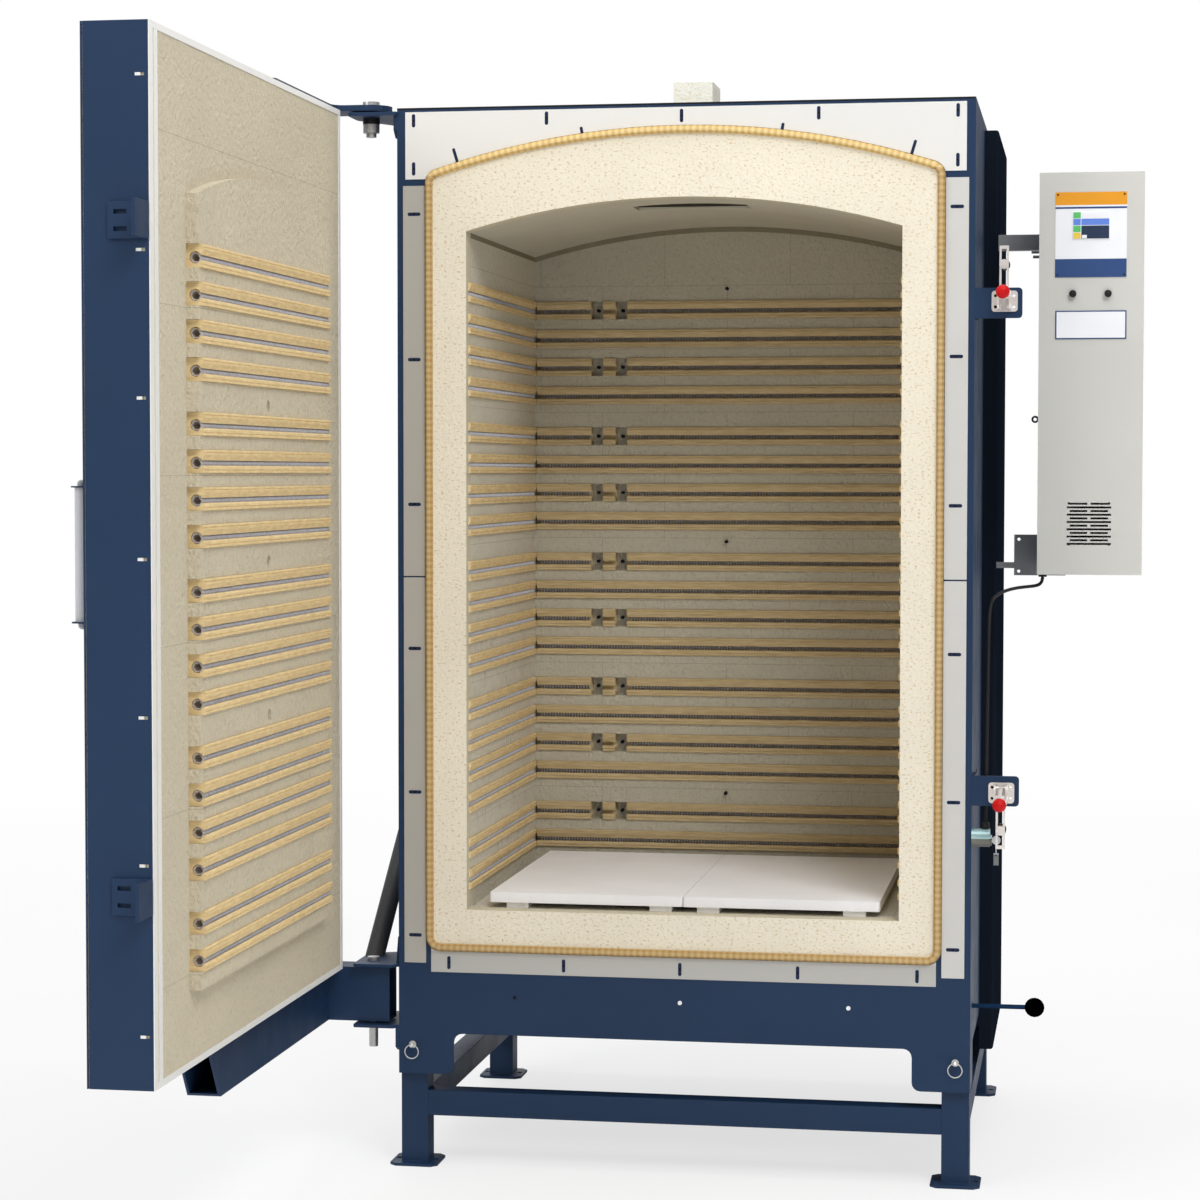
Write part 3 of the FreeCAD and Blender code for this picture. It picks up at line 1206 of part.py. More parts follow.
def door_handle():
    """A tube between two small plates, held by a long bolt with domed nuts."""
    span = HANDLE_TOP - HANDLE_BOTTOM
    tube = bar(HANDLE_X, HANDLE_Y, HANDLE_BOTTOM, (0, 0, 1), span, HANDLE_RADIUS, COLLAR_SIDES)
    bore = HANDLE_RADIUS - HANDLE_WALL
    tube = tube.cut(bar(HANDLE_X, HANDLE_Y, HANDLE_BOTTOM - 1, (0, 0, 1), span + 2, bore, SMALL_SIDES))
    solids = [tube]
    half = HANDLE_PLATE_WIDTH / 2
    for z in (HANDLE_BOTTOM - HANDLE_PLATE, HANDLE_TOP):
        plate = prism(rectangle(HANDLE_PLATE_REACH, DOOR_SKIN_X, HANDLE_Y - half, HANDLE_Y + half), "xy",
                      z, z + HANDLE_PLATE, [9, 0, 0, 9])
        hole = bar(HANDLE_X, HANDLE_Y, z - 1, (0, 0, 1), HANDLE_PLATE + 2, HANDLE_BOLT, 8)
        solids.append(plate.cut(hole))
    low = HANDLE_BOTTOM - HANDLE_PLATE
    high = HANDLE_TOP + HANDLE_PLATE
    bolt = bar(HANDLE_X, HANDLE_Y, low - 4, (0, 0, 1), high - low + 8, HANDLE_BOLT, 8)
    nuts = [bar(HANDLE_X, HANDLE_Y, z, (0, 0, 1), 5, HANDLE_NUT, SMALL_SIDES) for z in (low - 5, high)]
    solids.append(bolt.fuse(nuts).removeSplitter())
    return solids


def keeper(low, high, slots):
    """An angle on the free edge of the door, which the clamp presses on."""
    outside = DOOR_FREE_Y - KEEPER_SHEET
    flange = box(KEEPER_OUTER_X, KEEPER_INNER_X, outside, DOOR_FREE_Y, low, high)
    leg = box(KEEPER_INNER_X - KEEPER_SHEET, KEEPER_INNER_X, DOOR_FREE_Y - KEEPER_REACH, DOOR_FREE_Y,
              low, high)
    angle = flange.fuse(leg)
    left = KEEPER_SLOT_X - KEEPER_SLOT_LENGTH / 2
    right = KEEPER_SLOT_X + KEEPER_SLOT_LENGTH / 2
    half = KEEPER_SLOT_WIDTH / 2
    for z in slots:
        angle = angle.cut(box(left, right, outside - 1, DOOR_FREE_Y + 1, z - half, z + half))
    return angle.removeSplitter()


def latch_keepers():
    low_slot, high_slot = KEEPER_SLOT_RISE
    return [
        keeper(*KEEPER_UPPER, (KEEPER_UPPER[0] + low_slot, KEEPER_UPPER[0] + high_slot)),
        keeper(*KEEPER_LOWER, (KEEPER_LOWER[1] - low_slot, KEEPER_LOWER[1] - high_slot)),
    ]


def door_hinge_arms():
    """The plate on top of the door and the square tube under it, both turning on the hinge pins."""
    half = DOOR_PLATE_RADIUS
    near = DOOR_FACE_X - 13
    far = near - 2 * half
    end = DOOR_HINGE_Y - DOOR_PLATE_LENGTH
    plate = prism(
        [(HINGE_X + half, HINGE_Y - half), (near, HINGE_Y - half), (near, end), (far, end),
         (far, HINGE_Y), (far + half, HINGE_Y + half), (HINGE_X + half, HINGE_Y + half)],
        "xy", DOOR_TOP, DOOR_TOP + DOOR_PLATE_THICKNESS, [half - 0.01, 20, 6, 6, 8, 8, half - 0.01],
    )
    high = DOOR_TOP + DOOR_PLATE_THICKNESS
    plate = plate.cut(hinge_bore(TOP_PIN_RADIUS + HINGE_RUN, DOOR_TOP - 1, high + 1))
    width = ARM_WIDTH
    wall = ARM_WALL
    left = ARM_RUN_X - width / 2
    right = ARM_RUN_X + width / 2
    front = HINGE_Y - width / 2
    back = HINGE_Y + width / 2
    z0 = ARM_BOTTOM
    z1 = DOOR_BOTTOM
    end = ARM_RUN_END_TOP - 10
    arm = box(left, ARM_END_X, front, back, z0, z1).fuse(box(left, right, end, back, z0, z1))
    arm = arm.removeSplitter()
    arm = arm.cut(prism([(end - 1, z0 - 1), (ARM_RUN_END_BOTTOM, z0 - 1), (ARM_RUN_END_BOTTOM, z0),
                         (ARM_RUN_END_TOP, z1), (end - 1, z1)], "yz", left - 1, right + 1))
    arm = arm.cut([
        box(left + wall, ARM_END_X + 1, front + wall, back - wall, z0 + wall, z1 - wall),
        box(left + wall, right - wall, end - 1, back - wall, z0 + wall, z1 - wall),
        hinge_bore(BOTTOM_PIN_RADIUS + HINGE_RUN, z0 - 1, z1 + 1),
    ])
    return [plate, arm]


def clamp_bracket(base_z, side):
    """The angle on the corner of the case that carries a toggle clamp."""
    middle = base_z - side * CLAMP_PLATE_SHIFT
    low = middle - CLAMP_PLATE_HEIGHT / 2
    high = middle + CLAMP_PLATE_HEIGHT / 2
    outline_points = rectangle(CASE_HALF_WIDTH, CLAMP_PLATE_REACH, low, high)
    face = prism(outline_points, "xz", 0, CLAMP_PLATE, [0, 6, 6, 0])
    flange = box(CASE_HALF_WIDTH, CASE_HALF_WIDTH + CLAMP_PLATE, 0, CLAMP_FLANGE_DEPTH, low, high)
    return face.fuse(flange).cut(clamp_holes(base_z)).removeSplitter()


def clamp_holes(base_z):
    """The four screw holes, through the base and its bracket."""
    length = CLAMP_SHEET + CLAMP_PLATE + 2
    return [
        bar(CLAMP_X + dx, -CLAMP_SHEET - 1, base_z + dz, (0, 1, 0), length, CLAMP_HOLE_RADIUS, 8)
        for dx in (-CLAMP_HOLE_X, CLAMP_HOLE_X) for dz in (-CLAMP_HOLE_Z, CLAMP_HOLE_Z)
    ]


def clamp_base(base_z, side):
    """The foot of the toggle clamp: a plate with four holes and two ears with the pivot pins."""
    half = CLAMP_BASE_WIDTH / 2
    rise = CLAMP_BASE_HEIGHT / 2
    corners = rectangle(CLAMP_X - half, CLAMP_X + half, base_z - rise, base_z + rise)
    plate = prism(corners, "xz", -CLAMP_SHEET, 0, CLAMP_BASE_CORNER)
    plate = plate.cut(clamp_holes(base_z))
    ear_half = EAR_HEIGHT / 2
    inner = ARM_BAR_WIDTH / 2 + EAR_GAP
    reach = inner + EAR_SHEET
    ears = []
    for face in (-1, 1):
        near, far = sorted((CLAMP_X + face * inner, CLAMP_X + face * reach))
        ears.append(prism([(-CLAMP_SHEET, base_z - ear_half), (-EAR_REACH, base_z - ear_half),
                           (-EAR_REACH, base_z + ear_half), (-CLAMP_SHEET, base_z + ear_half)],
                          "yz", near, far, [0, 9, 9, 0]))
    pins = [
        rod(CLAMP_X - reach - 1, y, base_z + side * r, (1, 0, 0), 2 * (reach + 1), PIVOT_RADIUS)
        for y, r in ((ARM_PIVOT_Y, ARM_PIVOT_RISE), (LEVER_PIVOT_Y, LEVER_PIVOT_RISE))
    ]
    return plate.fuse(ears + pins).removeSplitter()


def clamp_arm(base_z, side):
    """The slotted arm, its spindle and the rubber tip that holds the keeper."""
    half = ARM_BAR_DEPTH / 2
    pivot = ARM_PIVOT_RISE
    ends = sorted((base_z + side * (pivot - half), base_z + side * ARM_BAR_END))
    round_end = half - 0.01
    radii = [round_end, round_end, 0, 0] if side > 0 else [0, 0, round_end, round_end]
    arm = prism(rectangle(ARM_PIVOT_Y - half, ARM_PIVOT_Y + half, *ends), "yz",
                CLAMP_X - ARM_BAR_WIDTH / 2, CLAMP_X + ARM_BAR_WIDTH / 2, radii)
    slot_ends = sorted((base_z + side * (pivot + half + 4), base_z + side * (ARM_BAR_END - 5)))
    slot = box(CLAMP_X - ARM_BAR_SLOT / 2, CLAMP_X + ARM_BAR_SLOT / 2, ARM_PIVOT_Y - half - 1,
               ARM_PIVOT_Y + half + 1, *slot_ends)
    bore = rod(CLAMP_X - ARM_BAR_WIDTH, ARM_PIVOT_Y, base_z + side * pivot, (1, 0, 0), 2 * ARM_BAR_WIDTH,
               PIVOT_RADIUS + HINGE_RUN)
    arm = arm.cut([slot, bore])
    z = base_z + side * SPINDLE_RISE
    tip_back = -TIP_STAND_OFF - TIP_LENGTH
    front = ARM_PIVOT_Y - half
    back = ARM_PIVOT_Y + half
    length = tip_back - front + SPINDLE_HEAD
    spindle = bar(CLAMP_X, front - SPINDLE_HEAD, z, (0, 1, 0), length, SPINDLE_RADIUS, 8)
    washers = [
        bar(CLAMP_X, front - 4, z, (0, 1, 0), 4, SPINDLE_WASHER, SMALL_SIDES),
        bar(CLAMP_X, back, z, (0, 1, 0), tip_back - back, SPINDLE_WASHER, SMALL_SIDES),
    ]
    spindle = spindle.fuse(washers).removeSplitter()
    tip = bar(CLAMP_X, tip_back, z, (0, 1, 0), TIP_LENGTH, TIP_RADIUS, COLLAR_SIDES)
    return [arm, spindle, tip]


def clamp_lever(base_z, side):
    """The hand lever with its ball."""
    pivot = V(CLAMP_X, LEVER_PIVOT_Y, base_z + side * LEVER_PIVOT_RISE)
    centre = V(CLAMP_X, BALL_Y, base_z + side * BALL_RISE)
    reach = centre - pivot
    along = V(reach)
    along.normalize()
    across = V(0, -along.z, along.y) * (LEVER_DEPTH / 2)
    half = LEVER_DEPTH / 2
    end = pivot - along * half
    corners = [end - across, centre - across, centre + across, end + across]
    strap = prism([(p.y, p.z) for p in corners], "yz", CLAMP_X - LEVER_WIDTH / 2, CLAMP_X + LEVER_WIDTH / 2,
                  [half - 0.01, 0, 0, half - 0.01])
    bore = PIVOT_RADIUS + HINGE_RUN
    strap = strap.cut(rod(CLAMP_X - LEVER_WIDTH, pivot.y, pivot.z, (1, 0, 0), 2 * LEVER_WIDTH, bore))
    return [strap, ball(centre, BALL_RADIUS).cut(strap)]


CLAMPS = {"upper": (CLAMP_BASE_UPPER, 1), "lower": (CLAMP_BASE_LOWER, -1)}


def interlock_body():
    """The key lock on the side of the case, with its barrel."""
    length = LOCK_OUTER_X - CASE_HALF_WIDTH
    body = bar(CASE_HALF_WIDTH, LOCK_Y, LOCK_Z, (1, 0, 0), length, LOCK_RADIUS, COLLAR_SIDES)
    stand_out = LOCK_BARREL_END - LOCK_OUTER_X
    barrel = rod(LOCK_OUTER_X, LOCK_Y, LOCK_BARREL_Z, (1, 0, 0), stand_out, LOCK_BARREL_RADIUS)
    keyway = rod(LOCK_OUTER_X - 12, LOCK_Y, LOCK_BARREL_Z, (1, 0, 0), LOCK_BARREL_END, LOCK_KEYWAY_RADIUS)
    return body.fuse(barrel).cut(keyway).removeSplitter()


def interlock_key():
    """The key in the lock: a round blade, a flat bow, its ring and a small tag."""
    start = LOCK_OUTER_X - 11
    radius = LOCK_KEYWAY_RADIUS - KEY_CLEARANCE
    blade = rod(start, LOCK_Y, LOCK_BARREL_Z, (1, 0, 0), LOCK_BARREL_END + 2 - start, radius)
    half = KEY_BOW_THICKNESS / 2
    front = LOCK_Y - half
    bow_x = LOCK_BARREL_END + KEY_BOW_RADIUS
    bow = bar(bow_x, front, LOCK_BARREL_Z, (0, 1, 0), KEY_BOW_THICKNESS, KEY_BOW_RADIUS, COLLAR_SIDES)
    hole_z = LOCK_BARREL_Z - KEY_BOW_RADIUS + 2.8
    hole = bar(bow_x, front - 1, hole_z, (0, 1, 0), KEY_BOW_THICKNESS + 2, KEY_HOLE_RADIUS, 8)
    key = blade.fuse(bow).cut(hole).removeSplitter()
    ring_radius = (hole_z - KEY_TAG_BOTTOM - 16) / 2
    loop = wire_ring(V(bow_x, LOCK_Y, hole_z - ring_radius), (1, 0, 0), ring_radius, 0.7)
    top = hole_z - 2 * ring_radius
    tag = box(bow_x - 4, bow_x + 4, LOCK_Y - 1, LOCK_Y + 1, KEY_TAG_BOTTOM, top + 3.0)
    tag = tag.cut(bar(bow_x, LOCK_Y - 2, top, (0, 1, 0), 4, 1.6, 6))
    return [key, loop, tag]


def damper_rod():
    """The draught rod with its ball outside and the plate under the air hole inside."""
    start = DAMPER_PLATE_X + DAMPER_PLATE_LENGTH / 2 - 10
    shaft = rod(start, DAMPER_Y, DAMPER_Z, (1, 0, 0), DAMPER_BALL_X - start, DAMPER_ROD_RADIUS)
    plate_low = FLOOR_PAN_TOP - FLOOR_PAN_SHEET - DAMPER_CLEARANCE - DAMPER_PLATE_THICKNESS
    x0 = DAMPER_PLATE_X - DAMPER_PLATE_LENGTH / 2
    middle = DAMPER_Y + FLUE_WIDTH
    half = DAMPER_PLATE_WIDTH / 2
    plate = box(x0, x0 + DAMPER_PLATE_LENGTH, middle - half, middle + half,
                plate_low, plate_low + DAMPER_PLATE_THICKNESS)
    web = box(start - 6, start + 6, DAMPER_Y - DAMPER_ROD_RADIUS - 2, middle, DAMPER_Z - 6, plate_low)
    shaft = shaft.fuse([web, plate]).removeSplitter()
    return [shaft, ball(V(DAMPER_BALL_X, DAMPER_Y, DAMPER_Z), DAMPER_BALL_RADIUS).cut(shaft)]


def control_arms():
    """Two arms and a bracket that carry the control box, and two short bolts in its left side."""
    back = BOX_BACK + BRICK_GAP
    reach = (BOX_LEFT + BOX_RIGHT) / 2
    arm_top = UPPER_ARM_Z + ARM_TUBE
    upper = tube_square(ARM_COVER_X, reach, back, back + ARM_TUBE, UPPER_ARM_Z, arm_top, ARM_TUBE_WALL, "x")
    bar_front = back + BRACKET_SHEET
    plate = box(BRACKET_LEFT, BOX_LEFT + BRACKET_LAP, back, bar_front, BRACKET_BOTTOM, BRACKET_TOP)
    holes = [
        bar(BRACKET_LEFT + 8, back - 1, z, (0, 1, 0), BRACKET_SHEET + 2, BRACKET_HOLE_RADIUS, 8)
        for z in (BRACKET_BOTTOM + 7, BRACKET_TOP - 8)
    ]
    lower = box(ARM_COVER_X, BOX_LEFT + LOWER_ARM_LAP, bar_front, bar_front + LOWER_ARM_DEPTH,
                LOWER_ARM_Z, LOWER_ARM_Z + LOWER_ARM_HEIGHT)
    wall = BOX_LEFT + SHELL_INSET
    bolts = [
        bar(wall - length, BOX_BACK - 20, UPPER_ARM_Z - drop, (1, 0, 0), length, SIDE_BOLT_RADIUS, 8)
        for drop, length in SIDE_BOLTS
    ]
    return [upper, plate.cut(holes), lower] + bolts


def control_box_shell():
    sheet = BOX_SHEET
    inset = SHELL_INSET
    front = BOX_FRONT + inset
    shell = box(BOX_LEFT + inset, BOX_RIGHT - inset, front, BOX_BACK, BOX_BOTTOM + inset, BOX_TOP - inset)
    return shell.cut(box(BOX_LEFT + inset + sheet, BOX_RIGHT - inset - sheet, front - 1, BOX_BACK - sheet,
                         BOX_BOTTOM + inset + sheet, BOX_TOP - inset - sheet))


def vent_slots():
    """The vent: rows of slots, every second row split in the middle."""
    pitch = (VENT_TOP - VENT_BOTTOM) / VENT_ROWS
    middle = (VENT_LEFT + VENT_RIGHT) / 2
    slots = []
    for row in range(VENT_ROWS):
        z = VENT_BOTTOM + (row + 0.5) * pitch - VENT_SLOT / 2
        if row % 2:
            slots.append((VENT_LEFT + VENT_BRIDGE, middle - VENT_BRIDGE / 2, z))
            slots.append((middle + VENT_BRIDGE / 2, VENT_RIGHT - VENT_BRIDGE, z))
        else:
            slots.append((VENT_LEFT, VENT_RIGHT, z))
    return slots


def control_box_cover():
    sheet = BOX_SHEET
    pan = box(BOX_LEFT, BOX_RIGHT, BOX_FRONT, BOX_FRONT + COVER_LIP, BOX_BOTTOM, BOX_TOP)
    pan = pan.cut(box(BOX_LEFT + sheet, BOX_RIGHT - sheet, BOX_FRONT + sheet, BOX_FRONT + COVER_LIP + 1,
                      BOX_BOTTOM + sheet, BOX_TOP - sheet))
    tools = [
        box(x0, x1, BOX_FRONT - 1, BOX_FRONT + sheet + 1, z, z + VENT_SLOT)
        for x0, x1, z in vent_slots()
    ]
    for x in FUSE_X:
        tools.append(bar(x, BOX_FRONT - 1, FUSE_Z, (0, 1, 0), sheet + 2, FUSE_RADIUS - 0.7, SMALL_SIDES))
    return pan.cut(tools)


FAN_X = (VENT_LEFT + VENT_RIGHT) / 2
FAN_Z = (VENT_BOTTOM + VENT_TOP) / 2


def fan_frame():
    """The fan's square frame, with four spokes that carry the motor boss."""
    front = BOX_FRONT + BOX_SHEET
    half = FAN_BORE + 4
    back = front + FAN_THICKNESS
    frame = box(FAN_X - half, FAN_X + half, front, back, FAN_Z - half, FAN_Z + half)
    bore = bar(FAN_X, front - 1, FAN_Z, (0, 1, 0), FAN_THICKNESS + 2, FAN_BORE, 2 * COLLAR_SIDES)
    frame = frame.cut(bore)
    spokes = []
    for x0, x1, z0, z1 in (
        (-FAN_BORE - 1, FAN_BORE + 1, -FAN_SPOKE / 2, FAN_SPOKE / 2),
        (-FAN_SPOKE / 2, FAN_SPOKE / 2, -FAN_BORE - 1, FAN_BORE + 1),
    ):
        spokes.append(box(FAN_X + x0, FAN_X + x1, back - 3, back, FAN_Z + z0, FAN_Z + z1))
    boss = bar(FAN_X, back - 5, FAN_Z, (0, 1, 0), 5, FAN_HUB - 1, COLLAR_SIDES)
    return frame.fuse(spokes + [boss]).removeSplitter()


def fan_rotor():
    front = BOX_FRONT + BOX_SHEET + 2
    depth = FAN_THICKNESS - 5 - 2 - FAN_GAP
    hub = bar(FAN_X, front, FAN_Z, (0, 1, 0), depth, FAN_HUB, COLLAR_SIDES)
    blades = []
    for n in range(FAN_BLADES):
        blade = box(FAN_HUB - 1, FAN_BORE - 1.5, -1, 1, -6.5, 6.5)
        blade.rotate(V(0, 0, 0), V(1, 0, 0), 45)
        blade.rotate(V(0, 0, 0), V(0, 1, 0), 360 * n / FAN_BLADES)
        blade.translate(V(FAN_X, front + depth / 2, FAN_Z))
        blades.append(blade)
    return hub.fuse(blades).removeSplitter()


def controller_panel():
    """The touch panel: a thin faced plate and the screen on it."""
    face = BOX_FRONT - PANEL_THICKNESS
    plate = box(PANEL_LEFT, PANEL_RIGHT, face, BOX_FRONT, PANEL_BOTTOM, PANEL_TOP)
    screen = box(SCREEN_LEFT, SCREEN_RIGHT, face - SCREEN_THICKNESS, face, SCREEN_BOTTOM, SCREEN_TOP)
    return [plate, screen]


def fuse_holders():
    solids = []
    for x in FUSE_X:
        cap = bar(x, BOX_FRONT - FUSE_CAP, FUSE_Z, (0, 1, 0), FUSE_CAP, FUSE_RADIUS, SMALL_SIDES)
        body = bar(x, BOX_FRONT - 1, FUSE_Z, (0, 1, 0), FUSE_BODY, FUSE_RADIUS - 0.8, SMALL_SIDES)
        solids.append(cap.fuse(body).removeSplitter())
    return solids


def cable_glands():
    x, y, z = LEAD_ROUTE[0]
    z += GLAND_GAP
    top = bar(x, y, z, (0, 0, 1), BOX_BOTTOM - z, GLAND_RADIUS, SMALL_SIDES)
    x, y, z = LEAD_ROUTE[-1]
    bottom = bar(x, y, LOCK_TOP, (0, 0, 1), z - GLAND_GAP - LOCK_TOP, GLAND_RADIUS - 0.5, SMALL_SIDES)
    return [top, bottom]


def control_lead():
    """The lead: straight runs joined by tangent arcs."""
    points = [V(*p) for p in LEAD_ROUTE]
    edges = []
    start = points[0]
    radii = []
    for before, corner, after in zip(points, points[1:], points[2:]):
        back = before - corner
        ahead = after - corner
        shorter = min(back.Length, ahead.Length)
        back.normalize()
        ahead.normalize()
        half_turn = (math.pi - back.getAngle(ahead)) / 2
        reach = 0.45 * shorter
        radius = reach / math.tan(half_turn)
        radii.append(radius)
        first = corner + back * reach
        last = corner + ahead * reach
        inward = back + ahead
        inward.normalize()
        middle = corner + inward * (radius / math.cos(half_turn) - radius)
        edges.append(Part.LineSegment(start, first).toShape())
        edges.append(Part.Arc(first, middle, last).toShape())
        start = last
    edges.append(Part.LineSegment(start, points[-1]).toShape())
    path = Part.Wire(edges)
    normal = points[1] - points[0]
    circle = Part.Circle(points[0], normal, LEAD_RADIUS)
    corners = [circle.value(2 * math.pi * n / LEAD_SIDES) for n in range(LEAD_SIDES)]
    area = LEAD_SIDES / 2 * LEAD_RADIUS ** 2 * math.sin(2 * math.pi / LEAD_SIDES)
    tube = path.makePipeShell([Part.makePolygon(corners + corners[:1])], True, True)
    print("lead radii", [round(r, 1) for r in radii])
    print("lead volume", round(tube.Volume), "section times length", round(area * path.Length))
    return tube


def main():
    os.makedirs("parts", exist_ok=True)
    single = (
        case_left_panel, case_right_panel, case_back_panel, case_roof, case_front_frame, floor_pan,
        door_gasket, front_brick_ring, brick_floor, brick_wall_back,
        brick_roof_arch, vent_plug, side_cover, rear_cover, interlock_body, control_box_shell,
        control_box_cover, fan_frame, fan_rotor, control_lead,
    )
    grouped = (
        brick_side_walls, hinge_strut, controller_panel, front_trim_panels, element_holders,
        heating_elements, terminal_pins, thermocouples, shelf_posts,
        stand_legs, stand_rails, hinge_brackets, hinge_pins, door_shell, door_trim, door_bricks,
        door_element_holders, door_heating_elements, door_handle, latch_keepers, door_hinge_arms,
        interlock_key, damper_rod, control_arms, fuse_holders, cable_glands,
    )
    for make in single:
        save(make.__name__, make())
    for make in grouped:
        save(make.__name__, *make())
    for name, side in (("left", -1), ("right", 1)):
        save("shelf_" + name, shelf(side))
        save("retaining_pin_" + name, retaining_pin(side))
        save("pull_ring_" + name, pull_ring(side))
    for number, name in enumerate(("upper", "middle", "lower")):
        save("peephole_plug_" + name, peephole_plug(number))
    save("clamp_mounts", *[f(*place) for place in CLAMPS.values() for f in (clamp_bracket, clamp_base)])
    for name, place in CLAMPS.items():
        save("clamp_arm_" + name, *clamp_arm(*place))
        save("clamp_lever_" + name, *clamp_lever(*place))


main()
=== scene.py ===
import bpy
import math
import random
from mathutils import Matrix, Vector


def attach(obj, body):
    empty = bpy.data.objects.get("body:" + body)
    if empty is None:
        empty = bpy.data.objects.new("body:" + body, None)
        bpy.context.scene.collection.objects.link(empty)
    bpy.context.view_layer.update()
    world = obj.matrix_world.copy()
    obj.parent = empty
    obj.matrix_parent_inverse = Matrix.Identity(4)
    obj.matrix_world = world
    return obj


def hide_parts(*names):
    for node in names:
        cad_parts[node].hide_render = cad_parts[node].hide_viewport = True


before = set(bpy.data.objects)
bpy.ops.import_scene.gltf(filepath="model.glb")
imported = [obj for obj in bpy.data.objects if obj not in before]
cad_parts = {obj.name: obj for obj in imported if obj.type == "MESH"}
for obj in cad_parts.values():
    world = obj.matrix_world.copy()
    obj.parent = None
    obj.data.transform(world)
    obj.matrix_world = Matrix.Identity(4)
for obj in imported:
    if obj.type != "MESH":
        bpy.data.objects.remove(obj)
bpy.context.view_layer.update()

random.seed(7)

# Places are written in millimetres from the front face of the case, X right, Y into the kiln, Z up.
CASE_DEPTH = 782.4
MM = 0.001
CASE_FRONT_Y = -CASE_DEPTH / 2 * MM


def at(x, y, z):
    """A place in the row frame, in metres."""
    return Vector((x, y - CASE_DEPTH / 2, z)) * MM


def colour(r, g, b):
    """A screen colour as the linear one that a shader takes."""
    out = []
    for c in (r, g, b):
        c = c / 255
        out.append(c / 12.92 if c <= 0.04045 else ((c + 0.055) / 1.055) ** 2.4)
    return (*out, 1.0)


# Materials

class Graph:
    """A small helper that lays out one node tree."""

    def __init__(self, name, rough, metallic=0.0, specular=0.5):
        self.mat = bpy.data.materials.new(name)
        self.mat.use_nodes = True
        self.tree = self.mat.node_tree
        self.bsdf = self.tree.nodes["Principled BSDF"]
        self.bsdf.inputs["Roughness"].default_value = rough
        self.bsdf.inputs["Metallic"].default_value = metallic
        self.bsdf.inputs["Specular IOR Level"].default_value = specular
        self.coords = self.add("ShaderNodeTexCoord").outputs["Object"]
        self.heights = []

    def add(self, kind, **values):
        node = self.tree.nodes.new(kind)
        for key, value in values.items():
            setattr(node, key, value)
        return node

    def link(self, a, b):
        self.tree.links.new(a, b)

    def stretched(self, scale):
        node = self.add("ShaderNodeMapping")
        node.inputs["Scale"].default_value = scale
        self.link(self.coords, node.inputs["Vector"])
        return node.outputs["Vector"]

    def noise(self, scale, detail=3.0, rough=0.55, coords=None):
        node = self.add("ShaderNodeTexNoise")
        node.inputs["Scale"].default_value = scale
        node.inputs["Detail"].default_value = detail
        node.inputs["Roughness"].default_value = rough
        self.link(coords or self.coords, node.inputs["Vector"])
        return node.outputs["Fac"]

    def cells(self, scale, feature="F1", coords=None):
        node = self.add("ShaderNodeTexVoronoi", feature=feature)
        node.inputs["Scale"].default_value = scale
        self.link(coords or self.coords, node.inputs["Vector"])
        return node.outputs["Distance"]

    def ramp(self, source, *stops):
        node = self.add("ShaderNodeValToRGB")
        band = node.color_ramp
        while len(band.elements) < len(stops):
            band.elements.new(0.5)
        for element, (place, value) in zip(band.elements, stops):
            element.position = place
            element.color = value if hasattr(value, "__len__") else (value, value, value, 1.0)
        self.link(source, node.inputs["Fac"])
        return node.outputs["Color"]

    def mix(self, factor, a, b, blend="MIX"):
        node = self.add("ShaderNodeMix", data_type="RGBA", blend_type=blend)
        if hasattr(factor, "links"):
            self.link(factor, node.inputs["Factor"])
        else:
            node.inputs["Factor"].default_value = factor
        for source, socket in ((a, node.inputs["A"]), (b, node.inputs["B"])):
            if hasattr(source, "links"):
                self.link(source, self.colour_socket(node, socket))
            else:
                self.colour_socket(node, socket).default_value = source
        return [o for o in node.outputs if o.type == "RGBA"][0]

    @staticmethod
    def colour_socket(node, socket):
        return [s for s in node.inputs if s.type == "RGBA" and s.name == socket.name][0]

    def raise_by(self, source, strength, distance):
        """Adds a relief; several reliefs are chained."""
        node = self.add("ShaderNodeBump")
        node.inputs["Strength"].default_value = strength
        node.inputs["Distance"].default_value = distance
        self.link(source, node.inputs["Height"])
        if self.heights:
            self.link(self.heights[-1], node.inputs["Normal"])
        self.heights.append(node.outputs["Normal"])

    def done(self, base=None, rough=None):
        if base is not None:
            self.link(base, self.bsdf.inputs["Base Color"])
        if rough is not None:
            self.link(rough, self.bsdf.inputs["Roughness"])
        if self.heights:
            self.link(self.heights[-1], self.bsdf.inputs["Normal"])
        return self.mat


def scaled(value, factor):
    return tuple(min(1.0, c * factor) for c in value[:3]) + (1.0,)


def painted(name, base, rough=0.42, grain=900.0, relief=0.12, wear=0.06, specular=0.25):
    """Powder coat: a fine skin, slow drifts of shade and gloss."""
    g = Graph(name, rough, 0.0, specular)
    drift = g.noise(3.0, 4.0)
    tone = g.ramp(drift, (0.3, scaled(base, 1 - wear)), (0.7, scaled(base, 1 + wear)))
    fine = g.noise(grain, 2.0)
    tone = g.mix(g.ramp(fine, (0.35, 0.0), (0.75, 0.25)), tone, scaled(base, 1.25))
    g.raise_by(fine, relief, 0.0004)
    gloss = g.ramp(g.noise(14.0, 3.0), (0.3, rough - 0.05), (0.7, rough + 0.08))
    return g.done(tone, gloss)


def beyond(g, axis, edges):
    """1 where the place along an axis is between two edges, in metres."""
    split = g.add("ShaderNodeSeparateXYZ")
    g.link(g.coords, split.inputs[0])
    out = None
    for edge, test in zip(edges, ("GREATER_THAN", "LESS_THAN")):
        node = g.add("ShaderNodeMath", operation=test)
        g.link(split.outputs[axis], node.inputs[0])
        node.inputs[1].default_value = edge
        if out is None:
            out = node.outputs[0]
        else:
            both = g.add("ShaderNodeMath", operation="MULTIPLY")
            g.link(out, both.inputs[0])
            g.link(node.outputs[0], both.inputs[1])
            out = both.outputs[0]
    return out


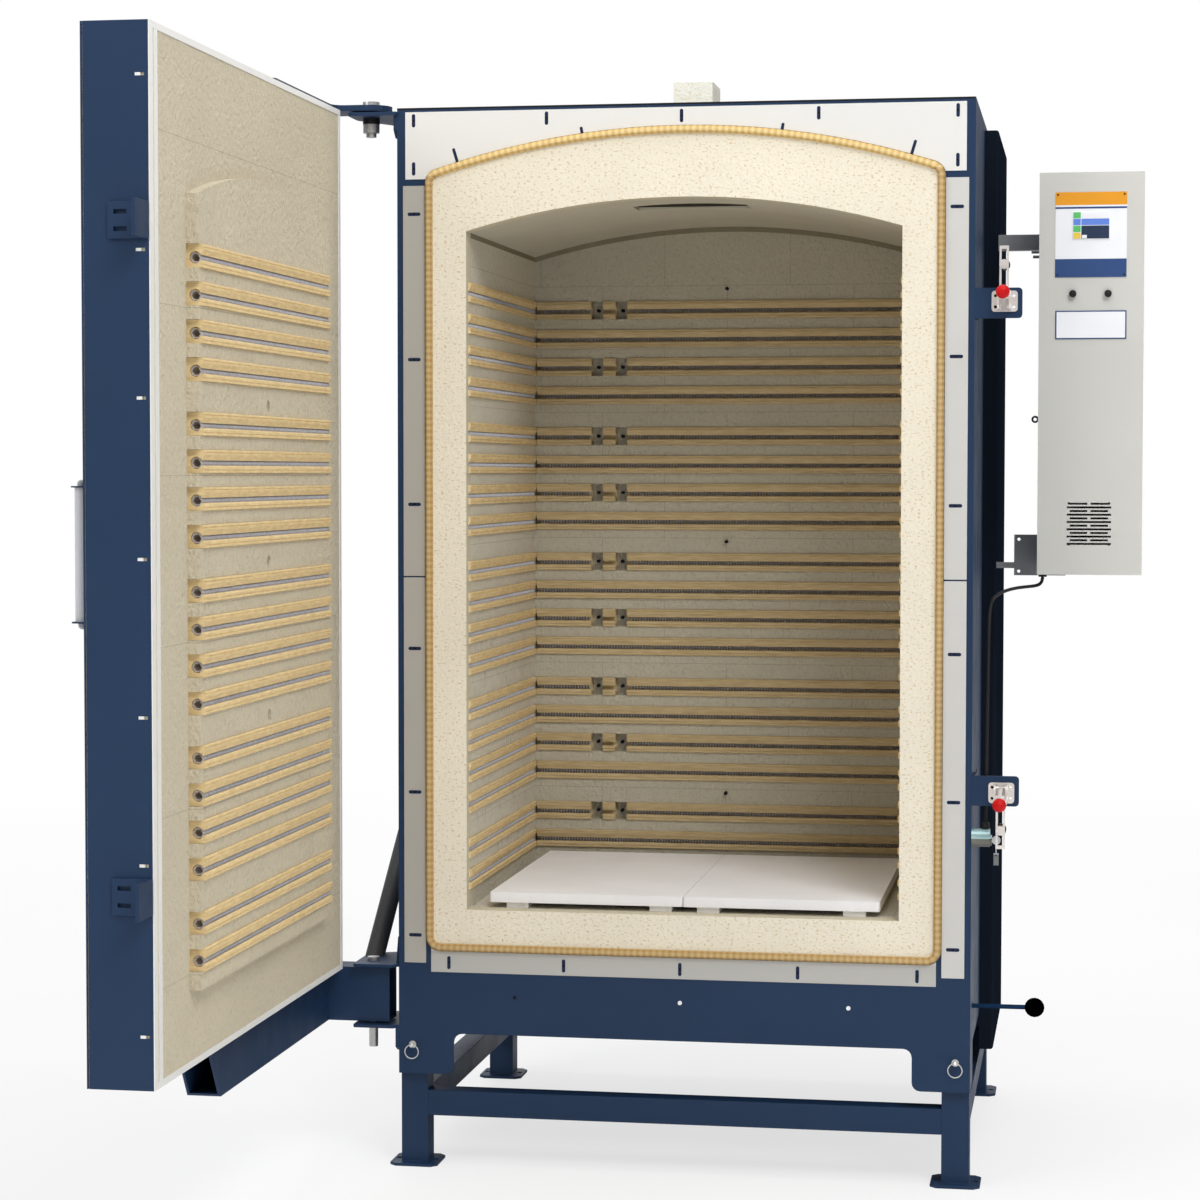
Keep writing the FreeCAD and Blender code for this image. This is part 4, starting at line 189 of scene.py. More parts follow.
def within(g, centre, radius):
    """1 inside a sphere."""
    distance = g.add("ShaderNodeVectorMath", operation="DISTANCE")
    g.link(g.coords, distance.inputs[0])
    distance.inputs[1].default_value = tuple(centre)
    node = g.add("ShaderNodeMath", operation="LESS_THAN")
    g.link(distance.outputs["Value"], node.inputs[0])
    node.inputs[1].default_value = radius
    return node.outputs[0]


def two_looks(name, inside, outside, mask, relief=0.08, specular=0.25):
    """Two finishes on one node; each is its colour, roughness and metallic share."""
    g = Graph(name, outside[1], outside[2], specular)
    where = mask(g)
    fine = g.noise(900.0, 2.0)
    tones = [g.ramp(fine, (0.3, scaled(look[0], 0.92)), (0.7, scaled(look[0], 1.08))) for look in (outside, inside)]
    for index, socket in ((1, "Roughness"), (2, "Metallic")):
        ranged = g.add("ShaderNodeMapRange")
        g.link(where, ranged.inputs["Value"])
        ranged.inputs["To Min"].default_value = outside[index]
        ranged.inputs["To Max"].default_value = inside[index]
        g.link(ranged.outputs["Result"], g.bsdf.inputs[socket])
    g.raise_by(fine, relief, 0.0003)
    return g.done(g.mix(where, tones[0], tones[1]))


def metal(name, base, rough=0.3, metallic=1.0, along=(1, 1, 1)):
    g = Graph(name, rough, metallic)
    lines = g.noise(700.0, 2.0, coords=g.stretched(along))
    tone = g.ramp(lines, (0.25, scaled(base, 0.85)), (0.75, scaled(base, 1.12)))
    blot = g.noise(40.0, 4.0)
    tone = g.mix(g.ramp(blot, (0.55, 0.0), (0.8, 0.35)), tone, scaled(base, 0.7))
    g.raise_by(lines, 0.08, 0.0002)
    return g.done(tone, g.ramp(blot, (0.3, rough - 0.06), (0.7, rough + 0.12)))


def speckled_brick(name, base, fleck, shade, fleck_amount, joints=None, hammer=0.35, extra=None):
    """Insulating brick: a bubbly skin with short rusty flecks, and faint joints where they show."""
    g = Graph(name, 0.92, 0.0, 0.2)
    drift = g.noise(5.0, 3.0)
    tone = g.ramp(drift, (0.3, scaled(base, 0.96)), (0.7, scaled(base, 1.03)))
    streak = g.noise(330.0, 4.0, 0.6, coords=g.stretched((0.55, 0.55, 1.0)))
    tone = g.mix(g.ramp(streak, (0.57, 0.0), (0.64, fleck_amount)), tone, fleck)
    small = g.noise(520.0, 3.0)
    tone = g.mix(g.ramp(small, (0.58, 0.0), (0.72, 0.35)), tone, shade)
    if joints:
        place, width, height = joints
        bricks = g.add("ShaderNodeTexBrick", offset=0.5)
        turned = g.add("ShaderNodeMapping")
        turned.inputs["Rotation"].default_value = place
        g.link(g.coords, turned.inputs["Vector"])
        g.link(turned.outputs["Vector"], bricks.inputs["Vector"])
        bricks.inputs["Scale"].default_value = 1.0
        bricks.inputs["Mortar Size"].default_value = 0.0006
        bricks.inputs["Mortar Smooth"].default_value = 0.3
        bricks.inputs["Brick Width"].default_value = width
        bricks.inputs["Row Height"].default_value = height
        tone = g.mix(g.ramp(bricks.outputs["Fac"], (0.0, 0.0), (1.0, 0.5)), tone, scaled(shade, 0.7))
        g.raise_by(g.ramp(bricks.outputs["Fac"], (0.0, 1.0), (1.0, 0.0)), 0.25, 0.0006)
    chisel = g.noise(210.0, 3.0, 0.55, coords=g.stretched((1.0, 1.0, 0.7)))
    tone = g.mix(g.ramp(chisel, (0.52, 0.0), (0.72, 0.30 * hammer)), tone, scaled(shade, 0.72))
    g.raise_by(g.noise(85.0, 5.0, 0.6), hammer, 0.004)
    g.raise_by(chisel, hammer, 0.003)
    g.raise_by(small, 0.3, 0.0006)
    for mask, look in extra or ():
        tone = g.mix(mask(g), tone, look)
    return g.done(tone)


def chiselled(g):
    """Short upright cuts in the lower courses of the walls."""
    cuts = g.noise(240.0, 3.0, coords=g.stretched((1.0, 1.0, 0.12)))
    low = g.mix(beyond(g, "Z", (0.0, 0.97)), (0, 0, 0, 1), g.ramp(cuts, (0.58, 0.0), (0.66, 0.55)))
    return g.mix(g.ramp(g.noise(9.0, 2.0), (0.42, 0.0), (0.56, 1.0)), (0, 0, 0, 1), low)


def front_sheets():
    """White enamel with painted shade: greyer down the sides, darker still on the left strip beside the open door and
    along the bottom.
    """
    g = Graph("white_sheets", 0.38, 0.0, 0.3)
    tone = g.ramp(g.noise(1.2, 2.0), (0.3, colour(223, 222, 219)), (0.7, colour(227, 226, 223)))
    sides = beyond(g, "Z", (0.0, 1.6205))
    tone = g.mix(sides, tone, colour(204, 203, 200))
    left = beyond(g, "X", (-9.0, -0.4145))
    upper = g.mix(left, (0, 0, 0, 1), sides)
    # Painted shade on the left strip, where the open door shadows it.
    tone = g.mix(upper, tone, colour(176, 173, 166))
    bottom = g.mix(beyond(g, "X", (-0.4145, 0.4145)), (0, 0, 0, 1), beyond(g, "Z", (0.0, 0.3590)))
    # Painted shade along the bottom strip.
    tone = g.mix(bottom, tone, colour(186, 185, 181))
    g.raise_by(g.noise(900.0, 2.0), 0.05, 0.0004)
    return g.done(tone)


NAVY = colour(28, 51, 81)
navy = painted("navy_powder_coat", NAVY, 0.48)
# Nearly black navy for the side cover and the floor pan: navy powder coat darkened as painted shade.
dark = painted("navy_darkened_as_shade", colour(24, 30, 40), 0.8, specular=0.0)
black_edge = painted("black_edge", colour(12, 15, 21), 0.6)
white = painted("white_enamel", colour(232, 231, 227), 0.38, relief=0.05, wear=0.02)
sheet_white = front_sheets()
grey = painted("grey_paint", colour(69, 69, 70), 0.45)
arm_grey = painted("arm_grey_paint", colour(140, 141, 144), 0.45)
box_grey = painted("textured_light_grey", colour(206, 205, 199), 0.5, grain=1600.0, relief=0.35, wear=0.015)
ARCH_SPRING, ARCH_RISE, MOUTH_HALF = 1540.0, 51.0, 354.3
ARCH_RADIUS = (MOUTH_HALF ** 2 + ARCH_RISE ** 2) / (2 * ARCH_RISE)
ARCH_CENTRE_Z = ARCH_SPRING + ARCH_RISE - ARCH_RADIUS
BACK_Y = 590.0


def under_arch(g):
    """1 in a thin band of the back wall right under the vault."""
    inside = within(g, at(0.0, BACK_Y, ARCH_CENTRE_Z), (ARCH_RADIUS - 9.0) * MM)
    return g.mix(inside, (1, 1, 1, 1), (0, 0, 0, 1))


SHADED = colour(140, 132, 112)
WALL_GREY = colour(206, 198, 175)
face_brick = speckled_brick(
    "brick_face", colour(236, 229, 211), colour(196, 160, 100), colour(228, 218, 190), 0.75,
    extra=[(lambda g: beyond(g, "Y", (CASE_FRONT_Y + 0.0015, 9.0)), WALL_GREY)])
wall_turn = (math.radians(90), 0, 0)
side_turn = (math.radians(90), 0, math.radians(90))
back_brick = speckled_brick(
    "brick_back", colour(190, 184, 167), colour(176, 160, 126), colour(160, 150, 128), 0.25,
    (wall_turn, 0.2286, 0.1143), 0.8, extra=[(under_arch, SHADED)])
side_brick = speckled_brick(
    "brick_side", colour(214, 208, 193), colour(186, 170, 136), colour(172, 162, 138), 0.3,
    (side_turn, 0.2286, 0.1143), 0.8,
    extra=[(chiselled, colour(112, 106, 90)), (lambda g: beyond(g, "Z", (1.5315, 9.0)), SHADED)])
door_brick = speckled_brick("brick_door", colour(212, 202, 179), colour(190, 174, 140), colour(176, 164, 138), 0.2,
                            (side_turn, 0.2286, 0.1143), 1.0)
# Above the crown, in the flue and its neck, the roof brick is dark brown: painted shade in the deep flue.
roof_brick = speckled_brick("brick_roof", colour(196, 191, 175), colour(186, 170, 136), colour(172, 162, 138), 0.2,
                            extra=[(lambda g: beyond(g, "Z", (1.5925, 9.0)), colour(70, 64, 52))])
plug_brick = speckled_brick("brick_plug", colour(255, 253, 240), colour(234, 210, 148), colour(248, 240, 214), 0.6)
shelf_white = speckled_brick("shelf_ceramic", colour(244, 244, 247), colour(232, 230, 226), colour(240, 239, 238), 0.15,
                             hammer=0.08)
steel = metal("zinc_plated_steel", colour(226, 226, 222), 0.3, 0.6)
cap_steel = painted("cap_steel", colour(176, 177, 180), 0.4)
# Near-black standing in for the shade of holes and recesses: the apron hole, the dots on the sides and in the sheet
# slots, and the pins set in recesses.
dark_hole = painted("painted_hole_shade", colour(12, 13, 16), 0.8)


def ceramic_holder():
    g = Graph("fired_holder", 0.75, 0.0, 0.35)
    grain = g.noise(260.0, 3.0, coords=g.stretched((0.15, 0.15, 1.0)))
    tone = g.ramp(grain, (0.25, colour(218, 190, 138)), (0.75, colour(242, 218, 168)))
    dust = g.noise(30.0, 4.0)
    tone = g.mix(g.ramp(dust, (0.5, 0.0), (0.75, 0.35)), tone, colour(208, 182, 132))
    # Holders on the back wall are multiplied a cool darker tone: painted shade at the back of the chamber.
    back_wall_shade = beyond(g, "Y", ((BACK_Y - 4.2) * MM + CASE_FRONT_Y, 9.0))
    tone = g.mix(back_wall_shade, tone, g.mix(1.0, tone, (0.70, 0.71, 0.74, 1.0), "MULTIPLY"))
    g.raise_by(grain, 0.15, 0.0005)
    return g.done(tone)


def winding_wire():
    g = Graph("resistance_wire", 0.42, 0.35)
    scale_noise = g.noise(350.0, 3.0)
    tone = g.ramp(scale_noise, (0.3, colour(176, 174, 180)), (0.7, colour(214, 213, 218)))
    return g.done(tone, g.ramp(scale_noise, (0.3, 0.3), (0.7, 0.5)))


def braided_rope():
    g = Graph("braided_seal", 0.9, 0.0, 0.2)
    # The braid value darkens the rope where the strands dip and lightens their crowns: painted shade in the hollows and
    # painted light on the crowns.
    braid = g.add("ShaderNodeAttribute", attribute_name="braid").outputs["Fac"]
    tone = g.ramp(braid, (0.0, colour(178, 142, 86)), (0.5, colour(208, 175, 116)), (1.0, colour(230, 203, 150)))
    threads = g.noise(700.0, 3.0)
    tone = g.mix(g.ramp(threads, (0.4, 0.0), (0.7, 0.4)), tone, colour(172, 134, 76))
    # Lighter along the top and darker down the sides and bottom: painted light on top, painted shade on the sides.
    sides = beyond(g, "Z", (0.0, 1.630))
    tone = g.mix(sides, g.mix(1.0, tone, (1.16, 1.22, 1.28, 1.0), "MULTIPLY"), g.mix(1.0, tone, (0.82, 0.82, 0.86, 1.0), "MULTIPLY"))
    g.raise_by(threads, 0.4, 0.0004)
    return g.done(tone)


def moulded(name, base, rough, drift=0.08, specular=0.35):
    g = Graph(name, rough, 0.0, specular)
    fine = g.noise(1200.0, 2.0)
    tone = g.ramp(g.noise(25.0, 3.0), (0.3, scaled(base, 1 - drift)), (0.7, scaled(base, 1 + drift)))
    g.raise_by(fine, 0.08, 0.0003)
    return g.done(tone, g.ramp(fine, (0.3, max(0.02, rough - 0.05)), (0.7, rough + 0.05)))


holder_mat = ceramic_holder()
wire_mat = winding_wire()
rope_mat = braided_rope()
black_plastic = moulded("black_plastic", colour(20, 20, 21), 0.45)
rubber = moulded("black_rubber", colour(17, 17, 18), 0.65)
film_white = moulded("film_white", colour(246, 247, 250), 0.35, 0.012)
film_blue = moulded("film_blue", colour(50, 78, 128), 0.35, 0.03)
film_orange = moulded("film_orange", colour(236, 160, 40), 0.35, 0.03)
screen_glass = moulded("screen_glass", colour(46, 60, 84), 0.12)
tag_grey = moulded("tag_grey", colour(150, 152, 156), 0.5)
film_green = moulded("film_green", colour(96, 196, 110), 0.3, 0.03)
film_yellow = moulded("film_yellow", colour(240, 206, 84), 0.3, 0.03)
film_sky = moulded("film_sky", colour(104, 140, 226), 0.3, 0.03)

ZINC = (colour(236, 230, 225), 0.32, 0.6)
NAVY_LOOK = (NAVY, 0.48, 0.0)
RED_LOOK = (colour(196, 0, 0), 0.5, 0.0)
BLACK_LOOK = (colour(14, 14, 15), 0.35, 0.0)

clamp_mount_mat = two_looks("clamp_mount", ZINC, NAVY_LOOK, lambda g: beyond(g, "Y", (-9.0, CASE_FRONT_Y - 0.00005)))
arm_mat = two_looks("clamp_arm", BLACK_LOOK, ZINC, lambda g: beyond(g, "Y", (CASE_FRONT_Y - 0.0294, 9.0)))
lever_mats = {
    name: two_looks("clamp_lever_" + name, RED_LOOK, ZINC, lambda g, z=z: within(g, at(515.85, -94.0, z), 0.0116))
    for name, z in (("upper", 1428.0), ("lower", 629.5))
}
key_mat = two_looks("lock_key", (colour(122, 124, 124), 0.5, 0.3), (colour(205, 206, 208), 0.3, 1.0),
                    lambda g: beyond(g, "Z", (0.0, 0.5395)))
damper_mat = two_looks("damper", (colour(1, 1, 1), 0.9, 0.0), NAVY_LOOK, lambda g: beyond(g, "X", (0.5532, 9.0)),
                       specular=0.0)
handle_mat = two_looks("handle", (colour(206, 207, 210), 0.4, 0.0), NAVY_LOOK,
                       lambda g: beyond(g, "Z", (0.94605, 1.12695)))
pin_mat = two_looks("hinge_pin", (colour(34, 36, 38), 0.4, 0.4), (colour(190, 189, 186), 0.35, 0.8),
                    lambda g: beyond(g, "Z", (1.719, 1.7405)))
# The plug's end, set back in its hole in the plug face, is dark: painted shade of the recess.
sight_mat = two_looks("sight_plug", (colour(128, 120, 98), 0.9, 0.0), (colour(220, 190, 134), 0.8, 0.0),
                      lambda g: beyond(g, "X", (-0.5755, 9.0)))
# The lock barrel's upper half is pale blue zinc and its lower half dark grey: a painted highlight on top and painted
# shade below.
lock_mat = two_looks("lock", (colour(118, 118, 112), 0.4, 0.4), (colour(176, 208, 210), 0.25, 0.6),
                     lambda g: beyond(g, "Z", (0.0, 0.5655)))

# Camera, light and floor

camera = bpy.data.objects.new("camera", bpy.data.cameras.new("camera"))
bpy.context.scene.collection.objects.link(camera)
camera.location = (0.6662, -5.0604, 1.1484)
camera.rotation_euler = (math.radians(87.491), math.radians(-0.049), math.radians(9.706))
camera.data.sensor_width = 36.0
camera.data.lens = 87.59
bpy.context.scene.camera = camera
bpy.context.scene.view_settings.view_transform = "Standard"


def lamp(name, place, target, size, energy):
    data = bpy.data.lights.new(name, "AREA")
    data.shape = "RECTANGLE"
    data.size, data.size_y = size
    data.energy = energy
    obj = bpy.data.objects.new(name, data)
    bpy.context.scene.collection.objects.link(obj)
    obj.location = place
    obj.rotation_euler = (Vector(target) - Vector(place)).to_track_quat("-Z", "Y").to_euler()


lamp("key_light", (2.6, -4.6, 5.2), (-0.2, -0.4, 0.9), (2.4, 2.4), 175)
lamp("left_light", (-4.0, -4.2, 3.6), (-0.2, -0.4, 0.9), (2.8, 2.8), 95)
lamp("top_light", (0.0, -0.4, 4.8), (0, 0, 0), (3.6, 3.6), 95)
lamp("rear_light", (-1.0, 4.6, 3.2), (0, 0, 0.9), (3.4, 2.4), 60)


def make_world():
    world = bpy.data.worlds.new("studio")
    bpy.context.scene.world = world
    world.use_nodes = True
    tree = world.node_tree
    tree.nodes.clear()
    output = tree.nodes.new("ShaderNodeOutputWorld")
    shown = tree.nodes.new("ShaderNodeBackground")
    shown.inputs["Color"].default_value = (1, 1, 1, 1)
    ambient = tree.nodes.new("ShaderNodeBackground")
    ambient.inputs["Color"].default_value = (1, 1, 1, 1)
    ambient.inputs["Strength"].default_value = 0.42
    path = tree.nodes.new("ShaderNodeLightPath")
    mixer = tree.nodes.new("ShaderNodeMixShader")
    tree.links.new(path.outputs["Is Camera Ray"], mixer.inputs["Fac"])
    tree.links.new(ambient.outputs[0], mixer.inputs[1])
    tree.links.new(shown.outputs[0], mixer.inputs[2])
    tree.links.new(mixer.outputs[0], output.inputs["Surface"])


make_world()


def make_floor():
    data = bpy.data.meshes.new("floor")
    reach = 30.0
    data.from_pydata([(-reach, -reach, 0), (reach, -reach, 0), (reach, reach, 0), (-reach, reach, 0)], [],
                     [(0, 1, 2, 3)])
    obj = bpy.data.objects.new("floor", data)
    bpy.context.scene.collection.objects.link(obj)
    g = Graph("studio_floor", 0.7, 0.0, 0.1)
    tone = g.ramp(g.noise(1.5, 2.0), (0.3, colour(246, 246, 246)), (0.7, colour(250, 250, 250)))
    distance = g.add("ShaderNodeVectorMath", operation="LENGTH")
    g.link(g.coords, distance.inputs[0])
    spread = g.add("ShaderNodeMapRange", interpolation_type="SMOOTHSTEP")
    spread.inputs["From Min"].default_value = 1.6
    spread.inputs["From Max"].default_value = 6.0
    spread.inputs["To Min"].default_value = 0.7
    g.link(distance.outputs["Value"], spread.inputs["Value"])
    path = g.add("ShaderNodeLightPath")
    seen = g.add("ShaderNodeMath", operation="MULTIPLY")
    g.link(path.outputs["Is Camera Ray"], seen.inputs[0])
    g.link(spread.outputs["Result"], seen.inputs[1])
    glow = g.add("ShaderNodeEmission")
    mixer = g.add("ShaderNodeMixShader")
    g.link(seen.outputs[0], mixer.inputs["Fac"])
    g.link(g.bsdf.outputs["BSDF"], mixer.inputs[1])
    g.link(glow.outputs["Emission"], mixer.inputs[2])
    g.link(mixer.outputs["Shader"], g.tree.nodes["Material Output"].inputs["Surface"])
    data.materials.append(g.done(tone))


make_floor()

# Mesh helpers


def piece(name, verts, faces, mat, body, smooth=False, replaces=()):
    data = bpy.data.meshes.new(name)
    data.from_pydata([tuple(v) for v in verts], [], faces)
    data.update()
    if smooth:
        data.shade_smooth()
        data.set_sharp_from_angle(angle=math.radians(38))
    obj = bpy.data.objects.new(name, data)
    bpy.context.scene.collection.objects.link(obj)
    data.materials.append(mat)
    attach(obj, body)
    if replaces:
        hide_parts(*replaces)
    return obj


class Shape:
    """Collects the vertices and faces of one mesh."""

    def __init__(self):
        self.verts = []
        self.faces = []

    def put(self, verts, faces):
        base = len(self.verts)
        self.verts.extend(verts)
        self.faces.extend([tuple(i + base for i in f) for f in faces])

    def tube(self, points, radius, sides, closed=False, caps=True):
        """A round bar along the points; radius may be one number or one for each point."""
        points = [Vector(p) for p in points]
        count = len(points)
        radii = radius if hasattr(radius, "__len__") else [radius] * count
        ahead = points[1] - points[0]
        normal = ahead.orthogonal().normalized()
        verts = []
        for i, p in enumerate(points):
            if closed:
                direction = points[(i + 1) % count] - points[i - 1]
            else:
                direction = points[min(i + 1, count - 1)] - points[max(i - 1, 0)]
            direction.normalize()
            normal = (normal - direction * normal.dot(direction)).normalized()
            other = direction.cross(normal)
            for k in range(sides):
                t = 2 * math.pi * k / sides
                verts.append(p + (normal * math.cos(t) + other * math.sin(t)) * radii[i])
        faces = []
        for i in range(count if closed else count - 1):
            a = i * sides
            b = ((i + 1) % count) * sides
            for k in range(sides):
                m = (k + 1) % sides
                faces.append((a + k, a + m, b + m, b + k))
        if caps and not closed:
            faces.append(tuple(reversed(range(sides))))
            faces.append(tuple(range((count - 1) * sides, count * sides)))
        self.put(verts, faces)

    def lathe(self, profile, centre, axis, segments=24):
        """Turns (radius, height) pairs about an axis; the first and last may lie on it."""
        centre = Vector(centre)
        axis = Vector(axis).normalized()
        u = axis.orthogonal().normalized()
        w = axis.cross(u)
        verts = []
        rings = []
        for r, h in profile:
            ring = []
            if r < 1e-9:
                ring = [len(verts)] * segments
                verts.append(centre + axis * h)
            else:
                for k in range(segments):
                    t = 2 * math.pi * k / segments
                    ring.append(len(verts))
                    verts.append(centre + axis * h + (u * math.cos(t) + w * math.sin(t)) * r)
            rings.append(ring)
        faces = []
        for a, b in zip(rings, rings[1:]):
            for k in range(segments):
                m = (k + 1) % segments
                face = []
                for i in (a[k], a[m], b[m], b[k]):
                    if i not in face:
                        face.append(i)
                if len(face) > 2:
                    faces.append(tuple(reversed(face)))
        self.put(verts, faces)

    def prism(self, outline, place, low, high):
        """A plate: outline points (u, v) set by place(u, v, w) between two depths."""
        count = len(outline)
        verts = [place(u, v, low) for u, v in outline] + [place(u, v, high) for u, v in outline]
        faces = [tuple(reversed(range(count))), tuple(range(count, 2 * count))]
        for k in range(count):
            m = (k + 1) % count
            faces.append((k, m, m + count, k + count))
        self.put(verts, faces)

    def block(self, x0, x1, y0, y1, z0, z1, bevel=0.0):
        b = bevel
        if b <= 0:
            outline = [(x0, z0), (x1, z0), (x1, z1), (x0, z1)]
            self.prism(outline, lambda u, v, w: at(u, w, v), y0, y1)
            return
        outline = [(x0 + b, z0), (x1 - b, z0), (x1, z0 + b), (x1, z1 - b), (x1 - b, z1), (x0 + b, z1),
                   (x0, z1 - b), (x0, z0 + b)]
        inner = [(x0 + 1.5 * b, z0 + b), (x1 - 1.5 * b, z0 + b), (x1 - b, z0 + 1.5 * b), (x1 - b, z1 - 1.5 * b),
                 (x1 - 1.5 * b, z1 - b), (x0 + 1.5 * b, z1 - b), (x0 + b, z1 - 1.5 * b), (x0 + b, z0 + 1.5 * b)]
        loops = [[at(u, y0, v) for u, v in inner], [at(u, y0 + b, v) for u, v in outline],
                 [at(u, y1, v) for u, v in outline]]
        verts = [p for loop in loops for p in loop]
        faces = [tuple(range(8)), tuple(reversed(range(16, 24)))]
        for i in (0, 8):
            for k in range(8):
                m = (k + 1) % 8
                faces.append((i + m, i + k, i + 8 + k, i + 8 + m))
        self.put(verts, faces)

    def screw(self, x, y, z, axis, radius=3.0, height=1.8):
        """A pan head with a shallow round recess."""
        r = radius * MM
        h = height * MM
        self.lathe([(0, h * 0.45), (r * 0.42, h * 0.45), (r * 0.46, h), (r * 0.72, h), (r * 0.94, h * 0.62),
                    (r, h * 0.2), (r, 0)], at(x, y, z), axis, 18)

    def make(self, name, mat, body, slot, smooth=False, replaces=()):
        return piece(name, self.verts, self.faces, mat, body, smooth, replaces)


# The lead comes first: the route's points are those of the source

LEAD_ROUTE = (
    (574.0, 230.0, 975.0), (573.4, 229.4, 968.5), (569.5, 226.0, 963.0), (562.0, 219.5, 960.5),
    (547.0, 203.0, 959.5), (530.5, 172.0, 958.5), (513.0, 120.0, 955.0), (500.5, 68.0, 948.5),
    (496.0, 42.0, 940.0), (494.2, 25.0, 923.0), (493.6, 13.5, 885.0), (491.0, 8.0, 591.0),
)
LEAD_DIAMETER = 0.0055


def make_lead():
    data = bpy.data.curves.new("control_lead_line", "CURVE")
    data.dimensions = "3D"
    spline = data.splines.new("NURBS")
    spline.points.add(len(LEAD_ROUTE) - 1)
    for point, place in zip(spline.points, LEAD_ROUTE):
        point.co = (*at(*place), 1.0)
    spline.order_u = 3
    spline.use_endpoint_u = True
    spline.resolution_u = 10
    data.bevel_depth = LEAD_DIAMETER / 2
    data.bevel_resolution = 3
    obj = bpy.data.objects.new("control_lead_line", data)
    bpy.context.scene.collection.objects.link(obj)
    data.materials.append(rubber)
    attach(obj, "kiln")
    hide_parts("control_lead")


make_lead()

# Heating rows: the same table of heights as the source

ROW_TOP, ROW_PITCH, GROUP_PITCH = 1442.5, 51.43, 228.6
ROWS = [ROW_TOP - (r // 4) * GROUP_PITCH - (r % 4) * ROW_PITCH for r in range(18)]
PLUG_FACE_X = -545.0
WALL_PLACES = {
    "left": lambda d, a, z: at(-MOUTH_HALF + d, a, z),
    "right": lambda d, a, z: at(MOUTH_HALF - d, a, z),
    "back": lambda d, a, z: at(a, BACK_Y - d, z),
    "door": lambda d, a, z: at(PLUG_FACE_X + d, a, z),
}
HOLDER_HALF, HOLDER_DEEP, HOLDER_PROUD = 16.0, -20.0, 4.0
BORE_RADIUS, BORE_DEPTH, BORE_DROP, SLOT_HALF = 8.5, -7.0, 2.0, 3.5
SIDE_RUN = (18.0, 585.7)
BACK_RUNS_WHOLE = [(-350.0, 350.0)]
BACK_RUNS_SPLIT = [(-350.0, -248.8), (-227.3, -204.2), (-182.7, 350.0)]
PLUG_HALF = 344.3
DOOR_RUN = (-488.0 - PLUG_HALF + 9.0, -488.0 + PLUG_HALF - 8.0)


def holder_profile():
    """A C section with a round bore: a tall hollowed upper lip, a short lower one."""
    start = math.asin(SLOT_HALF / BORE_RADIUS)
    turns = [start + (2 * math.pi - 2 * start) * k / 18 for k in range(19)]
    bore = [(BORE_DEPTH + BORE_RADIUS * math.cos(t), BORE_RADIUS * math.sin(t) - BORE_DROP) for t in turns]
    proud = HOLDER_PROUD
    top = [(0.9, SLOT_HALF - BORE_DROP + 0.1), (1.6, 4.6), (proud - 0.3, 8.2), (proud, 8.8), (proud, 11.6),
           (proud - 1.0, 12.0), (proud - 1.0, 12.7), (proud - 0.1, 13.1), (proud - 0.1, HOLDER_HALF - 0.8),
           (proud - 0.9, HOLDER_HALF), (HOLDER_DEEP, HOLDER_HALF)]
    lower = [(HOLDER_DEEP, -HOLDER_HALF), (proud - 0.9, -HOLDER_HALF), (proud - 0.1, 0.8 - HOLDER_HALF),
             (proud - 0.1, -12.4), (proud - 1.0, -12.0), (proud - 1.0, -11.3), (proud, -10.9), (proud, -7.4),
             (proud - 0.4, -6.9), (0.9, -SLOT_HALF - BORE_DROP - 0.1)]
    return top + lower + list(reversed(bore))


PROFILE = holder_profile()


def make_holders(name, runs, body, node_names, slot="hard_ceramic"):
    shape = Shape()
    count = len(PROFILE)
    for wall, start, end, z in runs:
        place = WALL_PLACES[wall]
        verts = [place(d, a, z + h) for a in (start, end) for d, h in PROFILE]
        faces = [(k, (k + 1) % count, (k + 1) % count + count, k + count) for k in range(count)]
        faces += [tuple(reversed(range(count))), tuple(range(count, 2 * count))]
        if wall in ("left", "door"):
            faces = [tuple(reversed(f)) for f in faces]
        shape.put(verts, faces)
    return shape.make(name, holder_mat, body, slot, smooth=True, replaces=node_names)


WIRE_RADIUS, WINDING_RADIUS, WINDING_PITCH = 1.15, 6.9, 5.2


def make_windings(name, runs, body, node_names):
    """Closely wound wire, six points to a turn."""
    shape = Shape()
    for wall, start, end, z in runs:
        place = WALL_PLACES[wall]
        turns = (end - start) / WINDING_PITCH
        steps = int(turns * 6)
        points = []
        for i in range(steps + 1):
            t = 2 * math.pi * i / 6
            a = start + (end - start) * i / steps
            rise = WINDING_RADIUS * math.sin(t) - BORE_DROP
            points.append(place(BORE_DEPTH + WINDING_RADIUS * math.cos(t), a, z + rise))
        shape.tube(points, WIRE_RADIUS * MM, 3)
    return shape.make(name, wire_mat, body, "element_wire", smooth=True, replaces=node_names)


def wall_rows(inset, split_bridge):
    rows = []
    for number, z in enumerate(ROWS):
        for wall in ("left", "right"):
            rows.append((wall, SIDE_RUN[0] + inset, SIDE_RUN[1] - inset, z))
        for start, end in (BACK_RUNS_WHOLE if number % 2 else BACK_RUNS_SPLIT):
            if end - start > 30 or split_bridge:
                rows.append(("back", start + inset, end - inset, z))
    return rows


make_holders("row_holders", wall_rows(0, True), "kiln", ["element_holders"])
make_windings("row_windings", wall_rows(3, False), "kiln", ["heating_elements"])
make_holders("door_row_holders", [("door", *DOOR_RUN, z) for z in ROWS], "door", ["door_element_holders"])
make_windings("door_row_windings", [("door", DOOR_RUN[0] + 1, DOOR_RUN[1] - 3, z) for z in ROWS], "door",
              ["door_heating_elements"])

# The rope seal

SEAL_HALF, SEAL_BOTTOM, SEAL_SHOULDER, SEAL_CROWN, SEAL_CORNER = 422.0, 360.0, 1635.0, 1704.5, 24.0
SEAL_WIDTH, SEAL_PROUD = 12.5, 9.4


